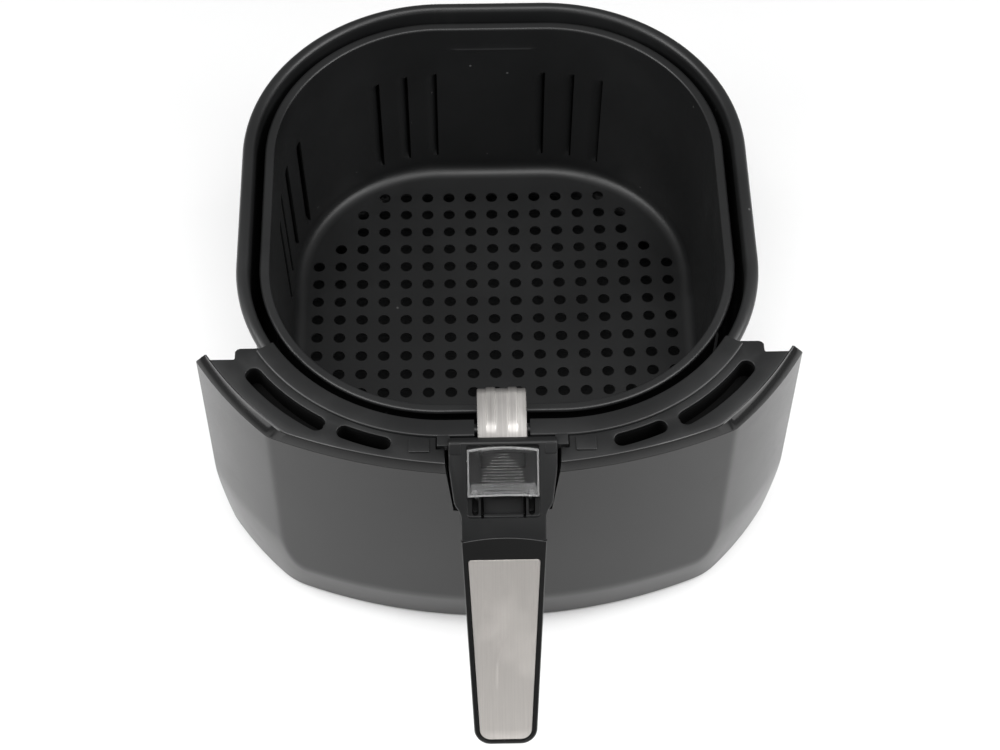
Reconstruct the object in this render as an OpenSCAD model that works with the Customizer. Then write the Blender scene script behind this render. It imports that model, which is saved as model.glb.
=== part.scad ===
// Drawer of a countertop hot-air fryer: a coated pan with a steel front panel, and a perforated
// basket that lifts out of it by a drop handle with a guarded release button.
// +Z is up, the handle points to -Y, and the origin is the centre of the pan's flat bottom.

/* [Pan] */
// Width of the pan over its rolled bead
pan_w = 254.4; // [200:0.2:320]
// Depth of the pan over its rolled bead
pan_d = 273.4; // [220:0.2:340]
// Height of the pan to the top of the bead
pan_h = 148; // [115:1:180]
// Corner radius of the pan over its bead
pan_corner = 101; // [70:1:115]
// Diameter of the rolled bead
bead_d = 6.4; // [4:0.2:9]
// Thickness of the pan and basket sheet
sheet = 1; // [0.6:0.1:1.6]
// Radius of the pan's bottom edge
pan_fillet = 10; // [6:1:16]

/* [Basket] */
// Gap from the bead to the basket's rim at each side
side_gap = 4.4; // [2:0.2:8]
// Gap from the bead to the basket's rim at the back
back_gap = 3; // [2:0.2:8]
// Gap from the bead to the basket's rim at the front
front_gap = 9.4; // [6:0.2:14]
// Corner radius of the basket's rim
basket_corner = 88.8; // [60:0.2:100]
// Width of the basket's turned-out rim
rim_w = 4; // [3:0.5:6]
// Drop from the pan's top to the basket's rim
rim_drop = 6.4; // [4:0.2:14]
// Height of the space under the basket's floor
leg_h = 27; // [12:1:36]
// Inward lean of the basket's wall over its height
wall_lean = 2.7; // [0:0.1:5]
// Radius between the basket's floor and wall
basket_fillet = 8; // [5:0.5:12]
// Pitch of the floor's round holes
hole_pitch = 12; // [10:0.5:16]
// Diameter of the floor's round holes
hole_d = 6.4; // [3:0.2:8]
// Height of a wall louvre's slot
louvre_h = 66; // [40:1:80]
// Width of a wall louvre's slot
louvre_w = 3; // [2:0.5:5]

/* [Front panel] */
// How far the panel's middle stands in front of the pan
front_reach = 20.3; // [16:0.1:30]
// How far each rear corner stands outside the pan
tip_reach = 16.6; // [12:0.1:25]
// Distance from the pan's front back to the panel's rear corners
tip_back = 45.7; // [30:0.1:60]
// Distance from the pan's side in to the panel's upright crease
kink_inset = 18.4; // [12:0.1:30]
// Distance from the pan's front back to the upright crease
kink_back = 2.7; // [0:0.1:8]
// Outward bow of each side facet
facet_bow = 2; // [0.5:0.1:5]
// Thickness of the steel skin
skin_t = 0.8; // [0.5:0.1:1.5]
// Thickness of the plastic carrier behind the skin
carrier_t = 2.5; // [1.5:0.1:4]
// Height of the lower edge above the pan's bottom
panel_foot = 1.2; // [0.5:0.1:5]
// Height of the crease along the lower edge
crease_z = 26.6; // [12:0.2:36]
// Inward lean of the panel below that crease
toe_lean = 4.7; // [2:0.1:10]
// Height where the side facets start to lean in
facet_crease_z = 50; // [40:1:90]

/* [Top trim] */
// Height of the trim's face above the pan's top
trim_rise = 1; // [0:0.1:3]
// Thickness of the trim plate
trim_t = 3; // [2:0.1:5]
// Height of the sloped edge band
band_h = 6; // [4:0.1:9]
// Inward slope of the edge band at the middle
band_front = 1.8; // [1:0.1:4]
// Inward slope of the edge band at the sides
band_side = 4.4; // [2:0.1:6]
// Width of the handle's notch in the trim
notch_w = 51; // [46:0.5:60]
// Gap between the handle's base and the notch
notch_gap = 0.5; // [0.3:0.1:2]

/* [Handle] */
// Slope of the base's top face, in degrees
base_tilt = 40; // [30:1:50]
// Length of the base's top face
base_l = 46.9; // [42:0.1:60]
// Width of the base and of the grip's upper end
grip_w = 39.4; // [38:0.2:46]
// Slope of the grip, in degrees
grip_tilt = 55; // [48:1:65]
// Length of the grip
grip_l = 105.5; // [90:0.5:130]
// Width of the grip's free end
grip_end_w = 30; // [24:0.5:38]
// Thickness of the front frame
frame_t = 8; // [6:0.5:12]
// Thickness of the rear cover at its upper end
cover_t = 13; // [9:0.5:18]
// Border of the frame around the plate
frame_border = 2.4; // [1.6:0.1:4]
// Width of the carrying strap
strap_w = 22.8; // [18:0.2:30]
// Thickness of the carrying strap
strap_t = 1.5; // [1:0.1:2.5]
// Slope of the carrying strap, in degrees
strap_tilt = 8; // [4:1:14]

/* [Release] */
// Width of the sliding guard
guard_w = 33; // [30:0.1:36]
// Length of the sliding guard
guard_l = 23.3; // [20:0.1:26]
// Travel of the sliding guard
guard_travel = 9; // [7:0.5:10]
// Travel of the release button
button_travel = 2.5; // [2:0.1:3]
// Diameter of the button's stem
stem_d = 4; // [3:0.1:5]
// Diameter of the latch's pin
pin_d = 3; // [2:0.1:4]
// Radial clearance of a running fit
running = 0.05; // [0.02:0.01:0.1]

/* [Hidden] */
$fn = 96;
far = 400;
rivet_r = 1.6;

// Pan: the wall stands inside the bead.
pan_hw = pan_w / 2;
pan_hd = pan_d / 2;
wall_in = bead_d - sheet;

// Basket: its rim sits inside the bead, nearer to the back than to the front.
basket_hw = pan_hw - bead_d - side_gap;
basket_hd = (pan_d - 2 * bead_d - back_gap - front_gap) / 2;
basket_y = (front_gap - back_gap) / 2;
basket_top = pan_h - rim_drop;
basket_bottom = sheet + leg_h;
leg_r = 6;
leg_x = 82;
leg_y = 78;
louvre_z = basket_bottom + sheet + 13;
back_louvre_x = [29.4, 45.6, 61.2];
side_louvre_y = [19, 37, 56, 73];

// Front panel: a front arc and two side facets, each part of a circle seen from above.
front_y = -pan_hd - front_reach;
kink = [pan_hw - kink_inset, -pan_hd + kink_back];
tip = [pan_hw + tip_reach, -pan_hd + tip_back];
front_r = arc_radius(2 * kink[0], kink[1] - front_y);
facet_chord = norm(tip - kink);
facet_r = arc_radius(facet_chord, facet_bow);
facet_in = [kink[1] - tip[1], tip[0] - kink[0]] / facet_chord;
facet_centre = (tip + kink) / 2 + facet_in * (facet_r - facet_bow);
trim_z = pan_h + trim_rise;
skin_z = trim_z - band_h;

// Bracket between the pan and the panel, with two shelves, and the catch above it.
shelf_z = [38, 88];
shelf_t = 1.5;
bracket_y = front_y + 14;
bracket_w = 130;
bracket_hole = [55, 12];
catch_w = 24;
catch_lip = 5;

// Top trim: its four bosses, and two curved slots round each corner of the pan.
trim_boss = [[pan_hw - 0.2, -pan_hd + 38.7], [pan_hw - 47.7, -pan_hd + 5.2]];
boss_r = 3.5;
boss_z = trim_z - 13.5;
slot_centre = [pan_hw - pan_corner, -pan_hd + pan_corner];
long_slot = [pan_corner + 11, 8, -37, -58];
short_slot = [pan_corner + 9.3, 7, -65, -75];

// Notch for the handle, through the trim, band, carrier and skin.
notch_y = -pan_hd - 1.1;
notch_z = pan_h - 37;
notch_foot_w = grip_w + 6.9;
notch_flare = 2;
liner_t = 2;
liner_y = notch_y - 5;
liner_x = notch_w / 2 + notch_flare + liner_t;
liner_end = front_at(liner_x) + skin_t + carrier_t + 1.3;
ear_w = 60.4;
ear_y0 = notch_y - 7.8;
ear_l = 6;
ear_z = trim_z - 2;

// Handle base: its top face starts a short way in front of its rear face and slopes down.
base_rear = notch_y - 1.2;
base_y = base_rear - 6.6;
base_z = pan_h + 7;
bend_y = base_y - base_l * cos(base_tilt);
bend_z = base_z - base_l * sin(base_tilt);
shoulder_w = notch_w - 2 * notch_gap;
shoulder_l = 22;
taper_l = 34;
well_floor = 4;
well_start = 2;
well_l = 34;
guard_start = 3.1;
guard_gap = 0.3;
guard_t = 3.2;
peg_x = 13;
peg_s = 24;
peg_r = 1.2;
button_s = 10;
button_size = [20, 6.4, 3];
button_gap = 0.3;
stem_l = 9.5;
spring_l = 5;
spring_r = 4;
pivot = base_point(18, -19);
hub_r = 3.6;
cavity_w = 12;
lever_w = 8;
nose_z = base_z - 35.5;
nose_t = 3;
nose_y = notch_y - 0.5;
catch_z = nose_z + 0.7;
core_w = 14;
core_t = 2.5;
core_in = 12;
core_l = 92;
grip_end_r = 8;
plate_start = 9;
plate_t = 1.2;
strap_leg = 42;
strap_bend = 3;
strap_gap = 0.1;
strap_play = 1.5;
strap_in_y = basket_y - basket_hd + rim_w + sheet + strap_gap + strap_t
             + wall_lean * strap_leg / (basket_top - basket_bottom);
strap_z = trim_z - 0.5;
strap_end = 6.5;
bend_centre = [strap_in_y - strap_t - strap_bend,
               strap_under(strap_in_y - strap_t - strap_bend * (1 + sin(strap_tilt)))
               - strap_bend * cos(strap_tilt)];
strap_tail = (bend_centre[0] - base_rear + strap_end) / cos(strap_tilt);

function arc_radius(chord, rise) = (chord * chord / 4 + rise * rise) / (2 * rise);

// Y of the panel's front face at a distance from its middle.
function front_at(x) = front_y + front_r - sqrt(front_r * front_r - x * x);

function strap_under(y) = strap_z + (y - notch_y) * tan(strap_tilt);

// Y and Z of a point on the handle's base: s down its top face, n out of it.
function base_point(s, n) = [base_y - s * cos(base_tilt) - n * sin(base_tilt),
                             base_z - s * sin(base_tilt) + n * cos(base_tilt)];

// Y and Z of a point on the grip: g down its face, n out of it.
function grip_point(g, n) = [bend_y - g * cos(grip_tilt) - n * sin(grip_tilt),
                             bend_z - g * sin(grip_tilt) + n * cos(grip_tilt)];

// Plan outline of a box with round corners.
module round_plan(hw, hd, r) {
  square([2 * (hw - r), 2 * hd], center = true);
  square([2 * hw, 2 * (hd - r)], center = true);
  for (sx = [-1, 1], sy = [-1, 1])
    translate([sx * (hw - r), sy * (hd - r)]) circle(r);
}

// Runs a wall's section round that outline: x is outwards from the outline, y is up.
module round_wall(hw, hd, r) {
  for (k = [0:3]) {
    a = k % 2 == 0 ? hw : hd;
    b = k % 2 == 0 ? hd : hw;
    rotate([0, 0, 90 * k]) {
      translate([a, b - r, 0]) rotate([90, 0, 0]) linear_extrude(2 * (b - r)) children();
      translate([a - r, b - r, 0]) rotate_extrude(angle = 90) translate([r, 0]) children();
    }
  }
}

// Quarter ring that turns a wall of thickness t into the floor.
module fillet_section(r, t) {
  intersection() {
    difference() {
      circle(r);
      circle(r - t);
    }
    translate([0, -r]) square(r);
  }
}

// Extrudes a section drawn in Y and Z to width w, centred on X = 0.
module across(w) {
  translate([-w / 2, 0, 0]) rotate([90, 0, 90]) linear_extrude(w) children();
}

module both_sides() {
  children();
  mirror([1, 0, 0]) children();
}

// Frames on the handle: -y runs down the face, z stands out of it.
module on_base() {
  translate([0, base_y, base_z]) rotate([base_tilt, 0, 0]) children();
}

module on_grip() {
  translate([0, bend_y, bend_z]) rotate([grip_tilt, 0, 0]) children();
}

// Disc whose rim leans in below z_lean, for the panel's three faces.
module leaning_disc(r, lean, z_lean, z1) {
  rotate_extrude()
    polygon([[0, panel_foot], [r - lean, panel_foot], [r, z_lean], [r, z1], [0, z1]]);
}

module front_half(z1) {
  translate([-far / 2, tip[1] - far, 0]) cube([far, far, z1]);
}

// Centres of the three faces' circles.
module at_front() {
  translate([0, front_y + front_r, 0]) children();
}

module at_facet(s) {
  translate([s * facet_centre[0], facet_centre[1], 0]) children();
}

// A facet's disc with everything past the panel's middle added, so that it shapes one side only.
module facet_half(s) {
  at_facet(s) children();
  translate([s > 0 ? -far : 0, -far, 0]) cube([far, 2 * far, far]);
}

module facet_plan(s) {
  at_facet(s) children();
  translate([s > 0 ? -far : 0, -far]) square([far, 2 * far]);
}

// Everything inside the panel's face, set in by a distance, up to height z1.
module panel_block(inset, z1) {
  intersection() {
    at_front() leaning_disc(front_r - inset, toe_lean, crease_z, z1);
    facet_half(-1) leaning_disc(facet_r - inset, toe_lean, facet_crease_z, z1);
    facet_half(1) leaning_disc(facet_r - inset, toe_lean, facet_crease_z, z1);
    front_half(z1);
  }
}

// Plan of the same outline above the creases, with its own inset at the front and sides.
module panel_plan(front_inset, side_inset) {
  intersection() {
    at_front() circle(front_r - front_inset);
    facet_plan(-1) circle(facet_r - side_inset);
    facet_plan(1) circle(facet_r - side_inset);
    translate([-far / 2, tip[1] - far]) square(far);
  }
}

// Tapered opening that the handle's base drops into, or with a gap the base's own taper.
module handle_notch(gap = 0) {
  foot = notch_foot_w / 2 - gap;
  top = notch_w / 2 + notch_flare - gap;
  translate([0, notch_y, 0]) rotate([90, 0, 0]) linear_extrude(far / 4)
    polygon([[-foot, notch_z], [foot, notch_z], [top, trim_z + 9], [-top, trim_z + 9]]);
}

// Curved slot parallel to the pan's corner, between two angles.
module corner_slot(r, w, a0, a1) {
  intersection() {
    difference() {
      circle(r + w / 2);
      circle(r - w / 2);
    }
    polygon([[0, 0], 2 * r * [cos(a0), sin(a0)], 2 * r * [cos(a1), sin(a1)]]);
  }
  for (a = [a0, a1]) translate(r * [cos(a), sin(a)]) circle(w / 2);
}

// Pan-head screw along -z from its head, or a rivet when the shank is short.
module fastener(head_r, head_h, shank_r, shank_l) {
  cylinder(r = head_r, h = head_h, $fn = 32);
  translate([0, 0, -shank_l]) cylinder(r = shank_r, h = shank_l + head_h / 2, $fn = 32);
}

// ---- Pan and front ----

module pan() color([0.10, 0.10, 0.11]) {
  hw = pan_hw - wall_in;
  hd = pan_hd - wall_in;
  r = pan_corner - wall_in;
  round_wall(hw, hd, r) {
    translate([-sheet, pan_fillet]) square([sheet, pan_h - bead_d / 2 - pan_fillet]);
    translate([-pan_fillet, pan_fillet]) fillet_section(pan_fillet, sheet);
    translate([wall_in - bead_d / 2, pan_h - bead_d / 2]) circle(bead_d / 2);
  }
  linear_extrude(sheet) round_plan(hw - pan_fillet, hd - pan_fillet, r - pan_fillet);
}

// Rear face of the bracket follows the pan's wall.
module pan_bracket() color([0.55, 0.56, 0.58]) {
  for (z = shelf_z) translate([0, 0, z]) linear_extrude(shelf_t) difference() {
    translate([-bracket_w / 2, bracket_y]) square([bracket_w, -bracket_y - pan_hd + 35]);
    round_plan(pan_hw - wall_in, pan_hd - wall_in, pan_corner - wall_in);
  }
  difference() {
    translate([-bracket_w / 2, bracket_y, shelf_z[0]])
      cube([bracket_w, shelf_t, shelf_z[1] - shelf_z[0] + shelf_t]);
    bracket_points() cylinder(r = 2, h = 10, center = true, $fn = 32);
  }
  difference() {
    translate([-pan_hw + pan_corner, -pan_hd + wall_in - shelf_t, shelf_z[0]])
      cube([2 * (pan_hw - pan_corner), shelf_t, shelf_z[1] - shelf_z[0] + shelf_t]);
    rivet_points() cylinder(r = rivet_r, h = 10, center = true, $fn = 32);
  }
}

// Four screw places on the bracket's front face, z pointing to the rear.
module bracket_points() {
  for (x = [-1, 1], z = [0, 1])
    translate([x * bracket_hole[0], bracket_y + shelf_t,
               z == 0 ? shelf_z[0] + bracket_hole[1] : shelf_z[1] - bracket_hole[1]])
      rotate([-90, 0, 0]) children();
}

// Two rivet places on the pan's flat front wall, z pointing to the front.
module rivet_points() {
  for (x = [-1, 1])
    translate([x * 16, -pan_hd + wall_in - shelf_t, (shelf_z[0] + shelf_z[1]) / 2])
      rotate([90, 0, 0]) children();
}

module bracket_rivets() color([0.7, 0.7, 0.72])
  rivet_points() fastener(3, 1.2, rivet_r, shelf_t);

module latch_catch() color([0.6, 0.6, 0.62]) {
  wall_y = -pan_hd + wall_in;
  difference() {
    translate([-catch_w / 2, wall_y - shelf_t, catch_z - 16]) cube([catch_w, shelf_t, 16 + shelf_t]);
    catch_points() cylinder(r = rivet_r, h = 10, center = true, $fn = 32);
  }
  translate([-catch_w / 2, wall_y - shelf_t - catch_lip, catch_z]) cube([catch_w, catch_lip, shelf_t]);
}

module catch_points() {
  for (x = [-1, 1])
    translate([x * 7, -pan_hd + wall_in - shelf_t, catch_z - 9]) rotate([90, 0, 0]) children();
}

module catch_rivets() color([0.7, 0.7, 0.72])
  catch_points() fastener(2.8, 1.2, rivet_r, shelf_t);

module trim_points() {
  both_sides() for (p = trim_boss) translate([p[0], p[1], boss_z]) children();
}

module panel_carrier() color([0.09, 0.09, 0.09]) {
  boss_inset = skin_t + carrier_t / 2;
  difference() {
    panel_block(skin_t, skin_z);
    panel_block(skin_t + carrier_t, far);
    handle_notch();
  }
  translate([0, 0, panel_foot + 1]) linear_extrude(2) difference() {
    panel_plan(skin_t + toe_lean + 0.5, skin_t + toe_lean + 0.5);
    panel_plan(skin_t + toe_lean + 9, skin_t + toe_lean + 9);
  }
  difference() {
    intersection() {
      bracket_points() translate([0, 0, -shelf_t - far / 4]) cylinder(r = 4.5, h = far / 4);
      panel_block(boss_inset, skin_z);
    }
    bracket_points() cylinder(r = 1.5, h = 22, center = true, $fn = 32);
  }
  difference() {
    intersection() {
      translate([0, 0, boss_z - 2.5]) linear_extrude(2.5) panel_plan(boss_inset, boss_inset);
      trim_points() translate([0, 0, -5]) cylinder(r = 13, h = 10);
    }
    trim_points() cylinder(r = 1.8, h = 10, center = true, $fn = 32);
    translate([0, 0, boss_z - 5])
      linear_extrude(10) round_plan(pan_hw + 1, pan_hd + 1, pan_corner + 1);
  }
}

module bracket_screws() color([0.75, 0.75, 0.77])
  bracket_points() fastener(3.6, 2.2, 1.5, 7);

module front_panel() color([0.42, 0.42, 0.43]) difference() {
  panel_block(0, skin_z);
  panel_block(skin_t, far);
  translate([0, 0, -1]) intersection() {
    panel_block(skin_t, far);
    cube([far, far, 2 * panel_foot + 4], center = true);
  }
  handle_notch();
}

// Sloped lip from the trim's face out to the steel skin.
module edge_band() color([0.03, 0.03, 0.03]) difference() {
  intersection() {
    at_front() band_disc(front_r, band_front);
    facet_half(-1) band_disc(facet_r, band_side);
    facet_half(1) band_disc(facet_r, band_side);
    front_half(trim_z);
  }
  linear_extrude(far) panel_plan(band_front, band_side);
  handle_notch();
}

// Disc whose rim slopes in over the band's height, with a narrow land left at its top.
module band_disc(r, slope_in) {
  land = 0.4;
  rotate_extrude() polygon([[0, skin_z], [r, skin_z], [r - slope_in + land, trim_z], [0, trim_z]]);
}

module trim_slots() {
  both_sides() translate(slot_centre) {
    corner_slot(long_slot[0], long_slot[1], long_slot[2], long_slot[3]);
    corner_slot(short_slot[0], short_slot[1], short_slot[2], short_slot[3]);
  }
}

module top_trim() color([0.06, 0.06, 0.06]) {
  collar_out = 3.2;
  collar_t = 2;
  difference() {
    union() {
      translate([0, 0, trim_z - trim_t]) linear_extrude(trim_t) difference() {
        panel_plan(band_front, band_side);
        trim_slots();
      }
      trim_points() cylinder(r = boss_r, h = trim_z - trim_t - boss_z + 0.5);
      notch_liner();
    }
    translate([-strap_w / 2 - strap_play, notch_y - 5, pan_h]) cube([strap_w + 2 * strap_play, 20, 9]);
    translate([0, 0, boss_z - 1]) linear_extrude(far)
      round_plan(pan_hw + 0.3, pan_hd + 0.3, pan_corner + 0.3);
    handle_notch();
    ear_pockets(ear_z, 0.4);
    trim_points() cylinder(r = 1.4, h = 16, center = true, $fn = 32);
  }
  difference() {
    translate([0, 0, pan_h + 0.2]) linear_extrude(collar_t) difference() {
      round_plan(pan_hw + collar_out, pan_hd + collar_out, pan_corner + collar_out);
      round_plan(pan_hw - bead_d, pan_hd - bead_d, pan_corner - bead_d);
      translate([-far / 2, tip[1] - 3]) square(far);
      square([strap_w + 2 * strap_play, far], center = true);
    }
    handle_notch();
    ear_pockets(ear_z, 0.4);
  }
}

// Side pockets in the trim where the base's ears rest.
module ear_pockets(z0, gap) {
  translate([-ear_w / 2 - gap, ear_y0 - gap, z0]) cube([ear_w + 2 * gap, ear_l + 2 * gap, far]);
}

// Walls that line the notch down behind the skin and join the trim's two halves.
module notch_liner() {
  translate([0, liner_y, 0]) rotate([90, 0, 0]) linear_extrude(liner_y - liner_end) intersection() {
    polygon([[-notch_foot_w / 2 - liner_t, notch_z - liner_t],
             [notch_foot_w / 2 + liner_t, notch_z - liner_t],
             [liner_x, trim_z + 9], [-liner_x, trim_z + 9]]);
    translate([-far / 2, 0]) square([far, trim_z]);
  }
}

module trim_screws() color([0.75, 0.75, 0.77])
  trim_points() translate([0, 0, -2.5]) mirror([0, 0, 1]) fastener(3.2, 2, 1.4, 10);

// ---- Basket and handle ----

// Number of holes on each side of the middle, for each row out from the middle.
function half_row(j) = j > 7 ? 5 : j > 5 ? 6 : j > 4 ? 7 : 8;

module floor_holes() {
  for (j = [-8:8], i = [-half_row(abs(j)):half_row(abs(j))])
    translate([i * hole_pitch, j * hole_pitch]) circle(hole_d / 2, $fn = 24);
}

module louvre_slots() {
  depth = 2 * (wall_lean + sheet) + 14;
  back = basket_hd - rim_w;
  r = basket_corner - rim_w;
  for (s = [-1, 1]) {
    for (x = back_louvre_x) {
      y = back - r + sqrt(r * r - pow(max(0, x - (basket_hw - rim_w - r)), 2));
      translate([s * x, y, louvre_z + louvre_h / 2]) cube([louvre_w, depth, louvre_h], center = true);
    }
    for (y = side_louvre_y) {
      side = basket_hw - rim_w;
      x = side - r + sqrt(r * r - pow(max(0, y - (back - r)), 2));
      translate([s * x, s * -y, louvre_z + louvre_h / 2])
        cube([depth, louvre_w, louvre_h], center = true);
    }
  }
}

module basket() color([0.08, 0.08, 0.09]) difference() {
  translate([0, basket_y, 0]) basket_shell();
  strap_points() cylinder(r = rivet_r, h = 12, center = true, $fn = 32);
}

module basket_shell() {
  hw = basket_hw - rim_w;
  hd = basket_hd - rim_w;
  r = basket_corner - rim_w;
  low = basket_bottom + basket_fillet;
  inset = wall_lean + basket_fillet;
  difference() {
    round_wall(hw, hd, r) {
      polygon([[0, basket_top], [-sheet, basket_top],
               [-sheet - wall_lean, low], [-wall_lean, low]]);
      translate([-inset, low]) fillet_section(basket_fillet, sheet);
      translate([-sheet, basket_top - 1.4]) square([rim_w + sheet - 1, 1.4]);
      translate([rim_w - 1, basket_top - 1]) circle(1);
    }
    louvre_slots();
  }
  translate([0, 0, basket_bottom]) linear_extrude(sheet) difference() {
    round_plan(hw - inset, hd - inset, r - inset);
    floor_holes();
  }
}

module basket_legs() color([0.08, 0.08, 0.09])
  for (sx = [-1, 1], sy = [-1, 1])
    translate([sx * leg_x, basket_y + sy * leg_y, sheet])
      cylinder(r1 = leg_r - 2, r2 = leg_r, h = leg_h, $fn = 48);

// Side view of the strap, from its leg inside the basket over the rim into the base.
module strap_section() {
  translate(bend_centre + [strap_bend, -strap_leg]) square([strap_t, strap_leg]);
  translate(bend_centre) {
    intersection() {
      difference() {
        circle(strap_bend + strap_t);
        circle(strap_bend);
      }
      polygon([[0, 0], [20, 0], [20, 20], 20 * [-sin(strap_tilt), cos(strap_tilt)]]);
    }
    rotate([0, 0, strap_tilt])
      translate([-strap_tail, strap_bend]) square([strap_tail + 0.3, strap_t]);
  }
}

module strap_points() {
  for (z = [20, 34])
    translate([0, strap_in_y, bend_centre[1] - z]) rotate([-90, 0, 0]) children();
}

module handle_strap() color([0.78, 0.76, 0.74]) difference() {
  across(strap_w) strap_section();
  strap_points() cylinder(r = rivet_r, h = 12, center = true, $fn = 32);
  base_screw_points() cylinder(r = 1.7, h = 30, center = true, $fn = 32);
}

module strap_rivets() color([0.78, 0.76, 0.74]) strap_points() {
  fastener(3.2, 1.2, rivet_r, strap_t + 3.2);
  translate([0, 0, -strap_t - 4]) cylinder(r = 2.6, h = 1, $fn = 32);
}

// Two screws that hold the strap's tail in the base, heads down.
module base_screw_points() {
  for (x = [-8.6, 8.6])
    translate([x, base_rear - 3.4, strap_under(base_rear - 3.4) - 9]) children();
}

module base_screws() color([0.75, 0.75, 0.77])
  base_screw_points() mirror([0, 0, 1]) fastener(2.6, 1.8, 1.5, 11.5);

// Outline of the base seen square to its top face.
module base_face() {
  polygon([[-shoulder_w / 2, 12], [shoulder_w / 2, 12], [shoulder_w / 2, -shoulder_l],
           [grip_w / 2, -taper_l], [grip_w / 2, -base_l - 30],
           [-grip_w / 2, -base_l - 30], [-grip_w / 2, -taper_l], [-shoulder_w / 2, -shoulder_l]]);
}

// Side view of the base's body, whose front end is square to the grip.
module base_section() {
  polygon([[base_rear, base_z - 43], [base_rear, base_z - 3.5], [base_y, base_z],
           [bend_y, bend_z], grip_point(0, -frame_t - cover_t),
           [front_y - 2, notch_z + 1.5]]);
}

// Room inside the base for the latch lever and its swing, open to the rear and below.
module latch_cavity() {
  across(cavity_w) {
    polygon([base_point(-6, -14), base_point(24, -14), base_point(24, -26), base_point(-6, -26)]);
    translate([pivot[0] - hub_r - 1.6, base_z - 60]) square([far, pivot[1] + 2 - base_z + 60]);
  }
}

module base_cover() color([0.06, 0.06, 0.06]) {
  front = pivot[0] - hub_r - 1.6;
  across(cavity_w) translate([front, base_z - 42.6]) square([base_rear - 4 - front, 1.6]);
}

// Stem, bore or pocket round the button's axis, between two heights over the base's face.
module on_stem(r, n0, n1) {
  translate([0, -button_s, n0]) cylinder(r = r, h = n1 - n0, $fn = 48);
}

module button_block(gap, n0, n1) {
  translate([-button_size[0] / 2 - gap, -button_s - button_size[1] / 2 - gap, n0])
    cube([button_size[0] + 2 * gap, button_size[1] + 2 * gap, n1 - n0]);
}

// Two grooves in the well's floor for the guard's pegs.
module guard_grooves() {
  r = peg_r + 0.3;
  depth = well_floor + 4;
  for (s = [-1, 1]) translate([s * peg_x, 0, -depth]) {
    for (y = [peg_s, peg_s + guard_travel]) translate([0, -y, 0]) cylinder(r = r, h = 5, $fn = 32);
    translate([-r, -peg_s - guard_travel, 0]) cube([2 * r, guard_travel, 5]);
  }
}

module latch_axis(r, w) {
  translate([-w / 2, pivot[0], pivot[1]]) rotate([0, 90, 0]) cylinder(r = r, h = w, $fn = 48);
}

module core_bar(gap) {
  on_grip() translate([-core_w / 2 - gap, core_in - core_l, -frame_t - cover_t / 2 - gap])
    cube([core_w + 2 * gap, core_l, core_t + 2 * gap]);
}

module strap_slot() {
  across(strap_w + 0.2) translate(bend_centre) rotate([0, 0, strap_tilt])
    translate([-strap_tail, strap_bend]) square([strap_tail, strap_t + 0.1]);
}

module handle_base() color([0.06, 0.06, 0.06]) {
  button_bottom = -well_floor - button_size[2] - button_travel;
  difference() {
    intersection() {
      across(shoulder_w) base_section();
      on_base() translate([0, 0, -80]) linear_extrude(90) base_face();
      handle_notch(notch_gap);
    }
    latch_cavity();
    on_base() {
      translate([-guard_w / 2 - guard_gap, -well_start - well_l, -well_floor])
        cube([guard_w + 2 * guard_gap, well_l, 10]);
      guard_grooves();
      button_block(button_gap, button_bottom, 0);
      on_stem(stem_d / 2 + running, -22, 0);
      on_stem(spring_r + 0.6, -well_floor - button_size[2] - spring_l, 0);
    }
    strap_slot();
    base_screw_points() cylinder(r = 1.3, h = 24, center = true, $fn = 32);
    base_screw_points() mirror([0, 0, 1]) cylinder(r = 3, h = 60, $fn = 32);
    latch_axis(pin_d / 2, cavity_w + 12);
    core_bar(0);
  }
  both_sides() translate([shoulder_w / 2 - 1, ear_y0, ear_z])
    cube([(ear_w - shoulder_w) / 2 + 1, ear_l, 4]);
}

module handle_core() color([0.6, 0.6, 0.62]) difference() {
  core_bar(0);
  cover_screw_points() cylinder(r = 1.7, h = 40, center = true, $fn = 32);
}

// Outline of the grip seen square to its face, set in by a distance and cut at its top.
module grip_outline(inset, top) {
  r = grip_end_r - inset;
  end_x = grip_end_w / 2 - grip_end_r;
  end_y = -grip_l + grip_end_r;
  slope = (grip_w - grip_end_w) / 2 / (grip_l - grip_end_r);
  polygon([[-grip_w / 2 + inset + slope * top, -top], [-end_x - r, end_y],
           [end_x + r, end_y], [grip_w / 2 - inset - slope * top, -top]]);
  for (s = [-1, 1]) translate([s * end_x, end_y]) circle(r);
  translate([-end_x, end_y - r]) square([2 * end_x, 2 * r]);
}

module handle_frame() color([0.03, 0.03, 0.03]) difference() {
  on_grip() difference() {
    translate([0, 0, -frame_t]) linear_extrude(frame_t) grip_outline(0, 0);
    translate([0, 0, -plate_t - 0.2]) linear_extrude(10) grip_outline(frame_border, plate_start);
  }
  cover_screw_points() cylinder(r = 1.4, h = 2 * (cover_t + 4), center = true, $fn = 32);
}

module handle_plate() color([0.76, 0.73, 0.70])
  on_grip() translate([0, 0, -plate_t - 0.2]) linear_extrude(plate_t)
    grip_outline(frame_border + 0.1, plate_start + 0.1);

// Two screws through the cover and core into the frame, heads at the back.
module cover_screw_points() {
  for (g = [24, 72]) on_grip() translate([0, -g, -frame_t - cover_t + 6]) children();
}

module handle_cover() color([0.05, 0.05, 0.05]) difference() {
  on_grip() translate([0, 0, -frame_t - cover_t]) linear_extrude(cover_t) grip_outline(0.6, 0);
  back = -frame_t - cover_t;
  across(2 * grip_w)
    polygon([grip_point(0, back), grip_point(0, back - cover_t),
             grip_point(grip_l + 2, back - cover_t), grip_point(grip_l + 2, back + cover_t / 2),
             grip_point(grip_l / 3, back)]);
  core_bar(0);
  cover_screw_points() cylinder(r = 1.7, h = 40, center = true, $fn = 32);
  cover_screw_points() mirror([0, 0, 1]) cylinder(r = 3.6, h = 20, $fn = 32);
}

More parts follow.
